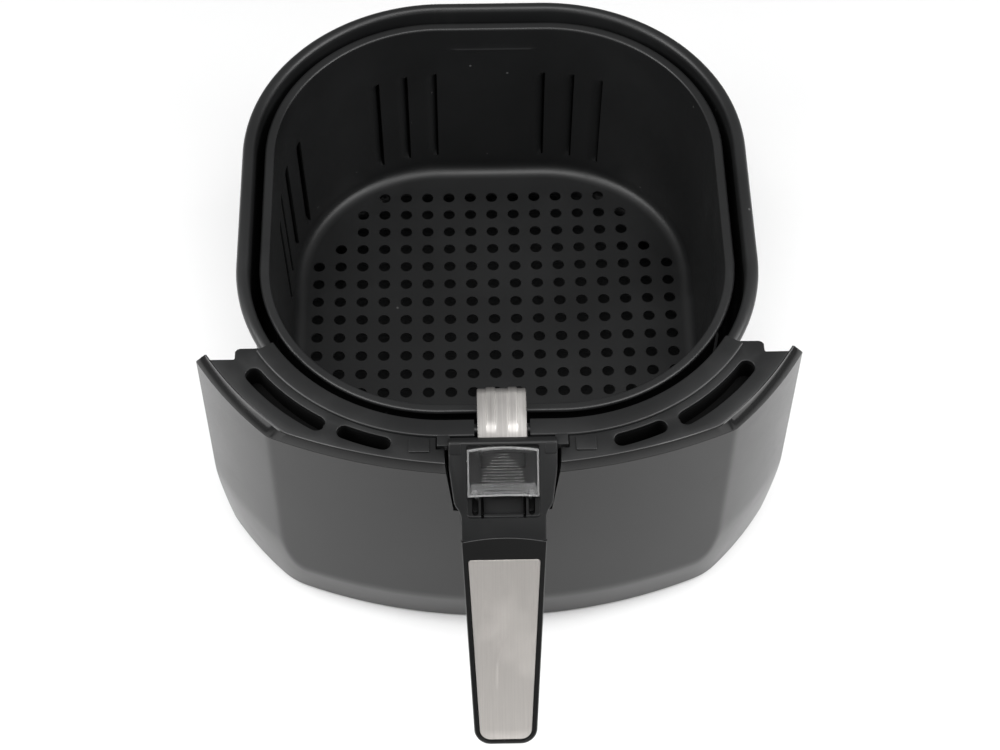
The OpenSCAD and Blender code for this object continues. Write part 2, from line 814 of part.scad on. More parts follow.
module cover_screws() color([0.75, 0.75, 0.77])
  cover_screw_points() mirror([0, 0, 1]) fastener(3, 2, 1.5, cover_t - 2);

// ---- Release ----

module latch_pin() color([0.7, 0.7, 0.72]) latch_axis(pin_d / 2, cavity_w + 12);

module latch_lever() color([0.5, 0.5, 0.52]) difference() {
  across(lever_w) {
    translate(pivot) circle(hub_r);
    polygon([base_point(7.5, -16.9), base_point(13, -17.6), base_point(19, -15.8),
             base_point(19, -22), base_point(7.5, -19.4)]);
    polygon([pivot + [-2.8, -2], [base_rear - 5, nose_z - nose_t], [nose_y, nose_z - nose_t],
             [nose_y, nose_z], [base_rear - 3, nose_z], pivot + [2.4, -1]]);
  }
  latch_axis(pin_d / 2 + running, 40);
}

module button_spring() color([0.7, 0.7, 0.72]) on_base() difference() {
  on_stem(spring_r, -well_floor - button_size[2] - spring_l, -well_floor - button_size[2]);
  on_stem(spring_r - 0.8, -40, 0);
}

module release_button() color([0.12, 0.12, 0.12]) on_base() {
  button_block(0, -well_floor - button_size[2], -well_floor);
  on_stem(stem_d / 2, -well_floor - button_size[2] - stem_l, -well_floor - button_size[2]);
}

module button_guard() color([0.75, 0.78, 0.80, 0.5]) on_base() {
  rim = 2;
  low = -well_floor + guard_gap;
  difference() {
    translate([-guard_w / 2, -guard_start - guard_l, low]) cube([guard_w, guard_l, guard_t]);
    translate([-guard_w / 2 + rim, -guard_start - guard_l + rim, low - 1])
      cube([guard_w - 2 * rim, guard_l - 2 * rim, guard_t - 0.5]);
  }
  for (s = [-1, 1]) translate([s * peg_x, -peg_s, low - 3]) cylinder(r = peg_r, h = 4, $fn = 32);
}

pan();
pan_bracket();
bracket_rivets();
latch_catch();
catch_rivets();
panel_carrier();
bracket_screws();
front_panel();
edge_band();
top_trim();
trim_screws();
basket();
basket_legs();
handle_strap();
strap_rivets();
handle_base();
base_cover();
base_screws();
handle_core();
handle_frame();
handle_plate();
handle_cover();
cover_screws();
latch_pin();
button_spring();
button_guard();
release_button();
latch_lever();
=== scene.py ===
import math

import bmesh
import bpy
from mathutils import Matrix, Vector
from mathutils.geometry import delaunay_2d_cdt


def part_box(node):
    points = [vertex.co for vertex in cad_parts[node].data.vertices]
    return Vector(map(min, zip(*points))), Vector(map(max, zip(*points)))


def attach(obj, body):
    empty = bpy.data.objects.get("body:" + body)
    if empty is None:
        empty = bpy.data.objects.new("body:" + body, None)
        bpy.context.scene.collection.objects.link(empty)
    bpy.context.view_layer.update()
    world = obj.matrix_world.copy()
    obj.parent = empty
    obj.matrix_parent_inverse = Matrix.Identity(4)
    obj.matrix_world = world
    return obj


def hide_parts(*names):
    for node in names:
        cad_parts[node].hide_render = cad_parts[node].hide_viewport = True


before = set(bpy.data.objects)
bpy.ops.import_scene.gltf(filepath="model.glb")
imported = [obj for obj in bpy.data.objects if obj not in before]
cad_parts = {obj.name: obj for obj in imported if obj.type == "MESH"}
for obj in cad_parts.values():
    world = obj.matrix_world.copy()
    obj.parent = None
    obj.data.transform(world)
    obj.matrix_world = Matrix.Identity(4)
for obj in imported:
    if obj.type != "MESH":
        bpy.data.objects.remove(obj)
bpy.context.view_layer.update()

# Every length below is in millimetres; make_piece() turns them into metres.
MM = 0.001


def box_mm(node):
    low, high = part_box(node)
    return low / MM, high / MM


# ---- Sizes taken from the frame, and the few that it can't give ----

pan_high = box_mm("pan")[1]
basket_low, basket_high = box_mm("basket")
skin_low, skin_high = box_mm("front_panel")
band_high = box_mm("edge_band")[1]
base_high = box_mm("handle_base")[1]
strap_low, strap_high = box_mm("handle_strap")
guard_low, guard_high = box_mm("button_guard")

BEAD_D = 6.4
SHEET = 1.0
PAN_HW = pan_high.x
PAN_HD = pan_high.y
PAN_TOP = pan_high.z
PAN_CORNER = 101.0
PAN_FILLET = 10.0

RIM_W = 4.0
BASKET_Y = (basket_low.y + basket_high.y) / 2
BASKET_TOP = basket_high.z
FLOOR_Z = basket_low.z + SHEET
BASKET_WALL = (basket_high.x - RIM_W, (basket_high.y - basket_low.y) / 2 - RIM_W, 84.8)
WALL_LEAN = 2.7
BASKET_FILLET = 8.0
HOLE_PITCH = 12.0
HOLE_R = 3.2
FLOOR_DISH = 1.8

SKIN_T = 0.8
SKIN_TOP = skin_high.z
SKIN_FOOT = skin_low.z
TIP = (skin_high.x, skin_high.y)
FRONT_Y = skin_low.y
KINK = (PAN_HW - 18.4, -PAN_HD + 2.7)
FACET_BOW = 2.0
CREASE_Z = 26.6
FACET_CREASE_Z = 50.0
TOE_LEAN = 4.7
TRIM_TOP = band_high.z
BAND_FRONT = 1.8
BAND_SIDE = 4.4

NOTCH_Y = -PAN_HD - 1.1
NOTCH_Z = PAN_TOP - 37
BASE_TILT = math.radians(40)
BASE_L = 46.9
BASE_Z = base_high.z
BASE_Y = FRONT_Y + 11.4
GRIP_TILT = math.radians(55)
GRIP_L = 105.5
GRIP_W = 39.4
GRIP_END_W = 30.0
FRAME_T = 8.0
COVER_T = 13.0
COVER_SCREWS = (24, 72)      # distances down the grip
PEG_X = 13.0


# ---- Mesh helpers ----

def make_piece(name, verts, faces, material, sharp=35):
    """A mesh piece from millimetre points, with its doubles merged and its normals outwards."""
    mesh = bpy.data.meshes.new(name)
    mesh.from_pydata([Vector(v) * MM for v in verts], [], faces)
    bm = bmesh.new()
    bm.from_mesh(mesh)
    bmesh.ops.remove_doubles(bm, verts=bm.verts, dist=2e-6)
    bmesh.ops.recalc_face_normals(bm, faces=bm.faces)
    bm.to_mesh(mesh)
    bm.free()
    piece = bpy.data.objects.new(name, mesh)
    bpy.context.scene.collection.objects.link(piece)
    mesh.materials.append(material)
    shade(piece, sharp)
    return piece


def shade(piece, sharp):
    piece.data.polygons.foreach_set("use_smooth", [True] * len(piece.data.polygons))
    piece.data.set_sharp_from_angle(angle=math.radians(sharp))


def bake_modifiers(piece, sharp=35):
    """Turns the evaluated result into the piece's own mesh."""
    graph = bpy.context.evaluated_depsgraph_get()
    mesh = bpy.data.meshes.new_from_object(piece.evaluated_get(graph))
    piece.modifiers.clear()
    piece.data = mesh
    shade(piece, sharp)
    return piece


def modify(piece, kind, **settings):
    modifier = piece.modifiers.new(kind.lower(), kind)
    for key, value in settings.items():
        setattr(modifier, key, value)
    return modifier


def cut(piece, cutters, sharp=35):
    """Subtracts each cutter from the piece and removes the cutters."""
    for cutter in cutters:
        modify(piece, "BOOLEAN", operation="DIFFERENCE", solver="EXACT", object=cutter)
    bake_modifiers(piece, sharp)
    for cutter in cutters:
        bpy.data.objects.remove(cutter)
    return piece


def soften(piece, width, segments=2, angle=30, sharp=40):
    """Rounds the piece's hard edges."""
    modify(piece, "BEVEL", width=width * MM, segments=segments, limit_method="ANGLE",
           angle_limit=math.radians(angle), use_clamp_overlap=True, harden_normals=False)
    return bake_modifiers(piece, sharp)


def join(name, pieces, sharp=35):
    """One object from several, with its parts kept as they are."""
    bm = bmesh.new()
    materials = []
    for piece in pieces:
        for slot in piece.data.materials:
            if slot not in materials:
                materials.append(slot)
        offset = [materials.index(m) for m in piece.data.materials]
        start = len(bm.faces)
        bm.from_mesh(piece.data)
        bm.faces.ensure_lookup_table()
        for face in bm.faces[start:]:
            face.material_index = offset[face.material_index]
    mesh = bpy.data.meshes.new(name)
    bm.to_mesh(mesh)
    bm.free()
    for piece in pieces:
        bpy.data.objects.remove(piece)
    whole = bpy.data.objects.new(name, mesh)
    bpy.context.scene.collection.objects.link(whole)
    for m in materials:
        mesh.materials.append(m)
    shade(whole, sharp)
    return whole


def loft(rings, closed_ring=True, closed_ends=False, caps=False):
    """Vertices and faces through rings of equally many points."""
    n = len(rings[0])
    verts = [p for ring in rings for p in ring]
    faces = []
    last = len(rings) if closed_ends else len(rings) - 1
    for i in range(last):
        a, b = i * n, (i + 1) % len(rings) * n
        for j in range(n if closed_ring else n - 1):
            k = (j + 1) % n
            faces.append((a + j, a + k, b + k, b + j))
    if caps:
        faces.append(tuple(range(n))[::-1])
        faces.append(tuple(range((len(rings) - 1) * n, len(rings) * n)))
    return verts, faces


def round_point(hw, hd, r, s):
    """Point and outward direction at distance s anticlockwise round a box with round corners."""
    corner = r * math.pi / 2
    total = 4 * (hw + hd - 2 * r) + 4 * corner
    s = s % total
    turn = 0
    for side, across_side in ((hd, hw), (hw, hd), (hd, hw), (hw, hd), (hd, hw)):
        start = side - r if turn == 0 else 2 * (side - r)
        if s <= start or turn == 4:
            along = s - start + side - r
            p, d = (across_side, along), (1.0, 0.0)
            break
        s -= start
        if s <= corner:
            a = s / r
            p = (across_side - r + r * math.cos(a), side - r + r * math.sin(a))
            d = (math.cos(a), math.sin(a))
            break
        s -= corner
        turn += 1
    c, w = (1, 0, -1, 0, 1)[turn], (0, 1, 0, -1, 0)[turn]
    return ((c * p[0] - w * p[1], w * p[0] + c * p[1]), (c * d[0] - w * d[1], w * d[0] + c * d[1]))


def round_length(hw, hd, r):
    return 4 * (hw + hd - 2 * r) + 2 * math.pi * r


def sweep_ring(shape, profile, stations, y0=0.0):
    """Rings of a profile of (outward, z) points carried round a rounded box."""
    rings = []
    for s in stations:
        (x, y), (dx, dy) = round_point(*shape, s)
        rings.append([(x + dx * out, y + dy * out + y0, z) for out, z in profile])
    return rings


def arc(cx, cz, r, a0, a1, n):
    """Points of an arc in degrees, ends included."""
    return [(cx + r * math.cos(math.radians(a0 + (a1 - a0) * i / n)),
             cz + r * math.sin(math.radians(a0 + (a1 - a0) * i / n))) for i in range(n + 1)]


def loop_normals(loop):
    """Outward directions of an anticlockwise loop, longer at sharp corners."""
    out = []
    n = len(loop)
    for i, p in enumerate(loop):
        a = Vector(p) - Vector(loop[i - 1])
        b = Vector(loop[(i + 1) % n]) - Vector(p)
        na = Vector((a.y, -a.x)).normalized()
        nb = Vector((b.y, -b.x)).normalized()
        m = na + nb
        out.append(m / max(0.5, m.length_squared / 2) if m.length > 1e-9 else na)
    return out


def point_in_loop(p, loop):
    inside = False
    for i, (x1, y1) in enumerate(loop):
        x0, y0 = loop[i - 1]
        if (y0 > p[1]) != (y1 > p[1]) and p[0] < (x1 - x0) * (p[1] - y0) / (y1 - y0) + x0:
            inside = not inside
    return inside


def fill_loops(loops, extra=()):
    """Triangles between an outer loop and its holes: points, then faces."""
    points, edges = [], []
    for loop in loops:
        start = len(points)
        points += [Vector(p) for p in loop]
        edges += [(start + i, start + (i + 1) % len(loop)) for i in range(len(loop))]
    points += [Vector(p) for p in extra]
    out, _, faces, *_ = delaunay_2d_cdt(points, edges, [], 0, 1e-5)
    kept = []
    for face in faces:
        c = sum((out[i] for i in face), Vector((0, 0))) / len(face)
        if point_in_loop(c, loops[0]) and not any(point_in_loop(c, hole) for hole in loops[1:]):
            kept.append(tuple(face))
    return [tuple(p) for p in out], kept


def slab(name, loops, z0, z1, radius, material, place=None, steps=3, sharp=40):
    """A plate between two heights with rounded top and bottom edges, holes included."""
    profile = [(-radius * (1 - math.sin(a)), z1 - radius * (1 - math.cos(a)))
               for a in (math.pi / 2 * i / steps for i in range(steps + 1))]
    profile += [(o, z0 + z1 - z) for o, z in reversed(profile)]
    verts, faces = [], []
    caps = []
    for hole, loop in enumerate(loops):
        normals = loop_normals(loop)
        side = -1 if hole else 1
        start = len(verts)
        n = len(loop)
        for out, z in profile:
            verts += [(p[0] + m.x * out * side, p[1] + m.y * out * side, z)
                      for p, m in zip(loop, normals)]
        for i in range(len(profile) - 1):
            for j in range(n):
                k = (j + 1) % n
                faces.append((start + i * n + j, start + i * n + k,
                              start + (i + 1) * n + k, start + (i + 1) * n + j))
        caps.append([(v[0], v[1]) for v in verts[start:start + n]])
    points, triangles = fill_loops(caps)
    for z in (z1, z0):
        start = len(verts)
        verts += [(x, y, z) for x, y in points]
        faces += [tuple(start + i for i in t) for t in triangles]
    if place:
        verts = [place(*v) for v in verts]
    return make_piece(name, verts, faces, material, sharp)


def circle_loop(x, y, r, n):
    """Anticlockwise loop of a circle."""
    return [(x + r * math.cos(a), y + r * math.sin(a)) for a in (math.tau * i / n for i in range(n))]


def rounded_rect(x0, x1, y0, y1, r, n=6):
    """Anticlockwise loop of a rectangle with round corners."""
    loop = []
    for cx, cy, a in ((x1 - r, y1 - r, 0), (x0 + r, y1 - r, 90), (x0 + r, y0 + r, 180),
                      (x1 - r, y0 + r, 270)):
        loop += arc(cx, cy, r, a, a + 90, n)
    return loop


def finish_piece(piece, body, slot, *nodes):
    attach(piece, body)
    if nodes:
        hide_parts(*nodes)
    return piece


# ---- Places on the handle ----

def on_base(x, s, n):
    """World point from x, distance down the base's top face, and height over it."""
    return (x, BASE_Y - s * math.cos(BASE_TILT) - n * math.sin(BASE_TILT),
            BASE_Z - s * math.sin(BASE_TILT) + n * math.cos(BASE_TILT))


BEND = on_base(0, BASE_L, 0)


def on_grip(x, g, n):
    """World point from x, distance down the grip's face, and height over it."""
    return (x, BEND[1] - g * math.cos(GRIP_TILT) - n * math.sin(GRIP_TILT),
            BEND[2] - g * math.sin(GRIP_TILT) + n * math.cos(GRIP_TILT))


# ---- Plan outline of the front panel ----

def arc_radius(chord, rise):
    return (chord * chord / 4 + rise * rise) / (2 * rise)


FRONT_R = arc_radius(2 * KINK[0], KINK[1] - FRONT_Y)
FACET_CHORD = math.dist(KINK, TIP)
FACET_R = arc_radius(FACET_CHORD, FACET_BOW)
FACET_C = ((TIP[0] + KINK[0]) / 2 + (KINK[1] - TIP[1]) / FACET_CHORD * (FACET_R - FACET_BOW),
           (TIP[1] + KINK[1]) / 2 + (TIP[0] - KINK[0]) / FACET_CHORD * (FACET_R - FACET_BOW))


def soft_max(a, b, k):
    h = max(k - abs(a - b), 0.0) / k
    return max(a, b) + h * h * k / 4


def front_arc(x, inset):
    return FRONT_Y + FRONT_R - math.sqrt((FRONT_R - inset) ** 2 - x * x)


def facet_arc(x, inset):
    return FACET_C[1] - math.sqrt(max(0.0, (FACET_R - inset) ** 2 - (x - FACET_C[0]) ** 2))


def tip_x(inset, y):
    """Where a side facet, set in by a distance, reaches a line across the drawer."""
    return FACET_C[0] + math.sqrt((FACET_R - inset) ** 2 - (y - FACET_C[1]) ** 2)


def outline_y(x, front_inset, side_inset, crease=0.8):
    return soft_max(front_arc(x, front_inset), facet_arc(abs(x), side_inset), crease)


def panel_outline(front_inset, side_inset, n=220, rear=TIP[1]):
    """Points from the left rear corner round the front to the right one."""
    end = tip_x(side_inset, rear)
    return [(end * t, outline_y(end * t, front_inset, side_inset))
            for t in (2 * i / n - 1 for i in range(n + 1))]


def facet_lean(z):
    """How far a side facet is set in at a height: more towards its foot."""
    return TOE_LEAN * (max(0.0, FACET_CREASE_Z - z) / (FACET_CREASE_Z - SKIN_FOOT)) ** 1.4


def skin_y(x, z):
    """Depth of the steel face: a front arc inside one crease that runs down each side and along
    the foot, with the side facets and the toe as one surface outside it."""
    toe = TOE_LEAN * (CREASE_Z - z) / (CREASE_Z - SKIN_FOOT)
    outside = soft_max(front_arc(x, toe), facet_arc(abs(x), facet_lean(z)), 2.8)
    return soft_max(front_arc(x, 0.0), outside, 0.7)


# ---- Shader groups: each gives only colours, masks or heights ----

def new_group(name, inputs, outputs):
    tree = bpy.data.node_groups.new(name, "ShaderNodeTree")
    for label, kind, value in inputs:
        socket = tree.interface.new_socket(label, in_out="INPUT", socket_type=kind)
        if value is not None:
            socket.default_value = value
    for label, kind in outputs:
        tree.interface.new_socket(label, in_out="OUTPUT", socket_type=kind)
    return tree, tree.nodes.new("NodeGroupInput"), tree.nodes.new("NodeGroupOutput")


def add(tree, kind, links=None, **settings):
    """A node with its inputs linked or set: keys of links are input names or numbers."""
    node = tree.nodes.new(kind)
    for key, value in settings.items():
        setattr(node, key, value)
    for key, value in (links or {}).items():
        socket = node.inputs[key]
        if isinstance(value, bpy.types.NodeSocket):
            tree.links.new(value, socket)
        else:
            socket.default_value = value
    return node


def maths(tree, operation, *values):
    return add(tree, "ShaderNodeMath", dict(enumerate(values)), operation=operation).outputs[0]


def map_range(tree, value, low, high, to_low, to_high):
    links = {"Value": value, "From Min": low, "From Max": high, "To Min": to_low, "To Max": to_high}
    return add(tree, "ShaderNodeMapRange", links).outputs[0]


FLOAT, VECTOR = "NodeSocketFloat", "NodeSocketVector"


def make_coating_grain():
    """Fine pebble of a sprayed or moulded skin, with a slow change of tone over it."""
    tree, start, end = new_group(
        "coating_grain",
        [("Vector", VECTOR, None), ("Pebble Scale", FLOAT, 900.0), ("Patch Scale", FLOAT, 14.0)],
        [("Height", FLOAT), ("Tone", FLOAT)])
    fine = add(tree, "ShaderNodeTexNoise", {"Vector": start.outputs[0], "Scale": start.outputs[1],
                                            "Detail": 3.0, "Roughness": 0.6}).outputs[0]
    cells = add(tree, "ShaderNodeTexVoronoi", {"Vector": start.outputs[0],
                                               "Scale": start.outputs[1]}).outputs["Distance"]
    slow = add(tree, "ShaderNodeTexNoise", {"Vector": start.outputs[0], "Scale": start.outputs[2],
                                            "Detail": 4.0, "Roughness": 0.55}).outputs[0]
    height = maths(tree, "ADD", maths(tree, "MULTIPLY", fine, 0.6),
                   maths(tree, "MULTIPLY", cells, 0.4))
    tree.links.new(height, end.inputs[0])
    tree.links.new(map_range(tree, slow, 0.3, 0.7, 0.0, 1.0), end.inputs[1])
    return tree


def make_brushed_lines():
    """Long scratches of brushed steel: the vector comes in already stretched along them."""
    tree, start, end = new_group(
        "brushed_lines",
        [("Vector", VECTOR, None), ("Line Scale", FLOAT, 60.0)],
        [("Height", FLOAT), ("Tone", FLOAT)])
    fine = add(tree, "ShaderNodeTexNoise", {"Vector": start.outputs[0], "Scale": start.outputs[1],
                                            "Detail": 6.0, "Roughness": 0.75}).outputs[0]
    broad = add(tree, "ShaderNodeTexNoise", {
        "Vector": start.outputs[0], "Scale": maths(tree, "MULTIPLY", start.outputs[1], 0.18),
        "Detail": 2.0}).outputs[0]
    tree.links.new(fine, end.inputs[0])
    mixed = maths(tree, "ADD", maths(tree, "MULTIPLY", fine, 0.7),
                  maths(tree, "MULTIPLY", broad, 0.3))
    tree.links.new(map_range(tree, mixed, 0.3, 0.7, 0.0, 1.0), end.inputs[1])
    return tree


def make_handling_marks():
    """Soft smudges and a few hairline scratches, as one mask."""
    tree, start, end = new_group(
        "handling_marks",
        [("Vector", VECTOR, None), ("Smudge Scale", FLOAT, 22.0), ("Scratch Scale", FLOAT, 45.0)],
        [("Mask", FLOAT)])
    smudge = add(tree, "ShaderNodeTexNoise", {
        "Vector": start.outputs[0], "Scale": start.outputs[1], "Detail": 5.0,
        "Roughness": 0.6, "Distortion": 0.4}).outputs[0]
    smudge = map_range(tree, smudge, 0.48, 0.72, 0.0, 1.0)
    warped = add(tree, "ShaderNodeMapping", {"Vector": start.outputs[0],
                                             "Rotation": (0.5, 0.9, 0.7),
                                             "Scale": (1.0, 0.06, 0.06)}).outputs[0]
    hair = add(tree, "ShaderNodeTexNoise", {"Vector": warped,
                                            "Scale": maths(tree, "MULTIPLY", start.outputs[2], 9.0),
                                            "Detail": 2.0}).outputs[0]
    hair = map_range(tree, hair, 0.71, 0.74, 0.0, 1.0)
    tree.links.new(maths(tree, "MAXIMUM", smudge, maths(tree, "MULTIPLY", hair, 0.8)),
                   end.inputs[0])
    return tree


def make_dust_specks():
    """Sparse light specks of lint and crumbs, as a mask."""
    tree, start, end = new_group(
        "dust_specks",
        [("Vector", VECTOR, None), ("Cell Scale", FLOAT, 95.0), ("Speck Size", FLOAT, 0.055)],
        [("Mask", FLOAT)])
    cell = add(tree, "ShaderNodeTexVoronoi", {"Vector": start.outputs[0],
                                              "Scale": start.outputs[1]})
    near = maths(tree, "LESS_THAN", cell.outputs["Distance"], start.outputs[2])
    pick = add(tree, "ShaderNodeSeparateColor", {0: cell.outputs["Color"]}).outputs[0]
    tree.links.new(maths(tree, "MULTIPLY", near, maths(tree, "GREATER_THAN", pick, 0.8)),
                   end.inputs[0])
    return tree


coating_grain = make_coating_grain()
brushed_lines = make_brushed_lines()
handling_marks = make_handling_marks()
dust_specks = make_dust_specks()


def place_group(tree, group, **inputs):
    node = tree.nodes.new("ShaderNodeGroup")
    node.node_tree = group
    for label, value in inputs.items():
        socket = node.inputs[label.replace("_", " ").title()]
        if isinstance(value, bpy.types.NodeSocket):
            tree.links.new(value, socket)
        else:
            socket.default_value = value
    return node


def grey(value, warm=0.0):
    return (value * (1 + warm), value, value * (1 - warm), 1.0)


def new_finish(name, stretch=(1, 1, 1), turn=(0, 0, 0)):
    material = bpy.data.materials.new(name)
    material.use_nodes = True
    tree = material.node_tree
    shader = tree.nodes["Principled BSDF"]
    place = add(tree, "ShaderNodeMapping", {
        "Vector": tree.nodes.new("ShaderNodeTexCoord").outputs["Object"],
        "Rotation": turn, "Scale": stretch}).outputs[0]
    plain = next(n for n in tree.nodes if n.type == "TEX_COORD").outputs["Object"]
    return material, tree, shader, place, plain


def mix_colour(tree, factor, a, b):
    node = tree.nodes.new("ShaderNodeMix")
    node.data_type = "RGBA"
    for socket, value in zip((node.inputs[0], node.inputs[6], node.inputs[7]), (factor, a, b)):
        if isinstance(value, bpy.types.NodeSocket):
            tree.links.new(value, socket)
        else:
            socket.default_value = value
    return node.outputs[2]


def bump(tree, shader, height, strength, distance):
    node = add(tree, "ShaderNodeBump", {"Height": height, "Strength": strength,
                                        "Distance": distance})
    tree.links.new(node.outputs[0], shader.inputs["Normal"])


def grained_finish(name, light, dark, rough, pebble=900.0, depth=0.00002, strength=0.35,
                   marks=0.1, specks=0.0, metal=0.0, level=0.5, coat=0.0):
    """Coated or moulded surface: pebbled, a little uneven in tone, with smudges and lint."""
    material, tree, shader, place, plain = new_finish(name)
    grain = place_group(tree, coating_grain, vector=place, pebble_scale=pebble)
    smudges = place_group(tree, handling_marks, vector=place).outputs[0]
    colour = mix_colour(tree, grain.outputs[1], dark, light)
    roughness = map_range(tree, smudges, 0.0, 1.0, rough, rough + marks)
    roughness = maths(tree, "ADD", roughness, map_range(tree, grain.outputs[1], 0, 1, -0.02, 0.02))
    if specks:
        lint = place_group(tree, dust_specks, vector=place, speck_size=specks).outputs[0]
        colour = mix_colour(tree, maths(tree, "MULTIPLY", lint, 0.35), colour, grey(0.2))
    tree.links.new(colour, shader.inputs["Base Color"])
    tree.links.new(roughness, shader.inputs["Roughness"])
    shader.inputs["Metallic"].default_value = metal
    shader.inputs["Specular IOR Level"].default_value = level
    shader.inputs["Coat Weight"].default_value = coat
    bump(tree, shader, grain.outputs[0], strength, depth)
    return material


def brushed_finish(name, light, dark, rough, spread, stretch, lines=60.0, strength=0.25,
                   depth=0.00003, marks=0.12, metal=1.0, turn=(0, 0, 0), level=0.5, coat=0.0):
    """Metal with long brush lines: stretch is small along them."""
    material, tree, shader, place, plain = new_finish(name, stretch, turn)
    brush = place_group(tree, brushed_lines, vector=place, line_scale=lines)
    smudges = place_group(tree, handling_marks, vector=plain).outputs[0]
    tree.links.new(mix_colour(tree, brush.outputs[1], dark, light), shader.inputs["Base Color"])
    roughness = map_range(tree, brush.outputs[1], 0.0, 1.0, rough + spread, rough)
    roughness = maths(tree, "ADD", roughness, maths(tree, "MULTIPLY", smudges, marks))
    tree.links.new(roughness, shader.inputs["Roughness"])
    shader.inputs["Metallic"].default_value = metal
    shader.inputs["Specular IOR Level"].default_value = level
    shader.inputs["Coat Weight"].default_value = coat
    bump(tree, shader, brush.outputs[0], strength, depth)
    return material


coated_steel = grained_finish("non_stick_coating", grey(0.011, -0.03), grey(0.007, -0.03), 0.38,
                              700.0, marks=0.1, specks=0.06)
dark_stainless = brushed_finish("dark_stainless_skin", grey(0.008, 0.02), grey(0.005, 0.02), 0.2,
                                0.06, (0.02, 1, 1), 220.0, strength=0.06, marks=0.03, metal=0.0,
                                level=0.31)
trim_black = grained_finish("satin_black_trim", grey(0.009, -0.03), grey(0.006, -0.03), 0.36,
                            1500.0, marks=0.14, specks=0.05, level=0.4)
carrier_black = grained_finish("moulded_carrier_black", grey(0.02), grey(0.014), 0.5, 1100.0)
housing_black = grained_finish("handle_housing_black", grey(0.009, -0.03), grey(0.006, -0.03),
                               0.38, 1900.0, marks=0.12, level=0.35)
# Darker and less shiny copy of the trim's black, used only inside the trim's slots: painted shade.
painted_slot_shade_black = grained_finish("slot_painted_shade_plastic", grey(0.003), grey(0.002), 0.7, 1100.0,
                              level=0.1)
frame_black = grained_finish("gloss_black_frame", grey(0.008), grey(0.005), 0.1, 300.0,
                             depth=0.000004, marks=0.1, level=0.36)
plate_steel = brushed_finish("brushed_handle_plate", grey(0.82, 0.05), grey(0.66, 0.05), 0.36,
                             0.12, (1, 0.02, 0.02), 900.0, strength=0.2)
strap_steel = brushed_finish("satin_strap_steel", grey(0.52, 0.035), grey(0.26, 0.04), 0.32, 0.16,
                             (1, 0.015, 0.015), 700.0, strength=0.6, depth=0.0001)
zinc_steel = brushed_finish("zinc_plated_steel", grey(0.6, -0.01), grey(0.42, 0.01), 0.3, 0.15,
                            (1, 1, 0.15), 300.0)
button_black = grained_finish("button_black", grey(0.012), grey(0.008), 0.3, 1500.0, level=0.3)


def make_clear_guard(name, clearness):
    """Clear moulded plastic, a little scuffed: glass with a plain transmission weight."""
    material, tree, shader, place, plain = new_finish(name)
    smudges = place_group(tree, handling_marks, vector=place, smudge_scale=60.0).outputs[0]
    grain = place_group(tree, coating_grain, vector=place, pebble_scale=400.0)
    tree.links.new(mix_colour(tree, smudges, grey(0.97), grey(0.86)), shader.inputs["Base Color"])
    tree.links.new(map_range(tree, smudges, 0, 1, 0.03, 0.16), shader.inputs["Roughness"])
    shader.inputs["Transmission Weight"].default_value = clearness
    shader.inputs["IOR"].default_value = 1.49
    bump(tree, shader, grain.outputs[0], 0.15, 0.00001)
    return material


clear_guard = make_clear_guard("clear_guard_plastic", 1.0)
# The rim's copy is less clear and so whiter: a painted highlight for the rim's bright edge lines.
guard_rim_painted_highlight = make_clear_guard("guard_rim_painted_highlight_plastic", 0.82)


# ---- Geometry Nodes helpers ----

def new_rule(name, inputs):
    """An empty geometry tree with its named inputs."""
    tree = bpy.data.node_groups.new(name, "GeometryNodeTree")
    tree.interface.new_socket("Geometry", in_out="INPUT", socket_type="NodeSocketGeometry")
    for label, kind, value in inputs:
        tree.interface.new_socket(label, in_out="INPUT", socket_type=kind).default_value = value
    tree.interface.new_socket("Geometry", in_out="OUTPUT", socket_type="NodeSocketGeometry")
    return tree, tree.nodes.new("NodeGroupInput"), tree.nodes.new("NodeGroupOutput")


def close_rule(tree, end, geometry, material):
    real = add(tree, "GeometryNodeRealizeInstances", {0: geometry}).outputs[0]
    done = add(tree, "GeometryNodeSetMaterial", {0: real, "Material": material}).outputs[0]
    tree.links.new(done, end.inputs[0])


def run_rule(name, tree, verts, edges=(), sharp=35, attributes=None, **values):
    """Runs a geometry tree on points and keeps the result as a plain mesh object."""
    mesh = bpy.data.meshes.new(name)
    mesh.from_pydata([Vector(v) * MM for v in verts], list(edges), [])
    for label, vectors in (attributes or {}).items():
        layer = mesh.attributes.new(label, "FLOAT_VECTOR", "POINT")
        for item, value in zip(layer.data, vectors):
            item.vector = value
    piece = bpy.data.objects.new(name, mesh)
    bpy.context.scene.collection.objects.link(piece)
    modifier = piece.modifiers.new("rule", "NODES")
    modifier.node_group = tree
    for item in tree.interface.items_tree:
        if item.in_out == "INPUT" and item.name in values:
            modifier[item.identifier] = values[item.name]
    return bake_modifiers(piece, sharp)


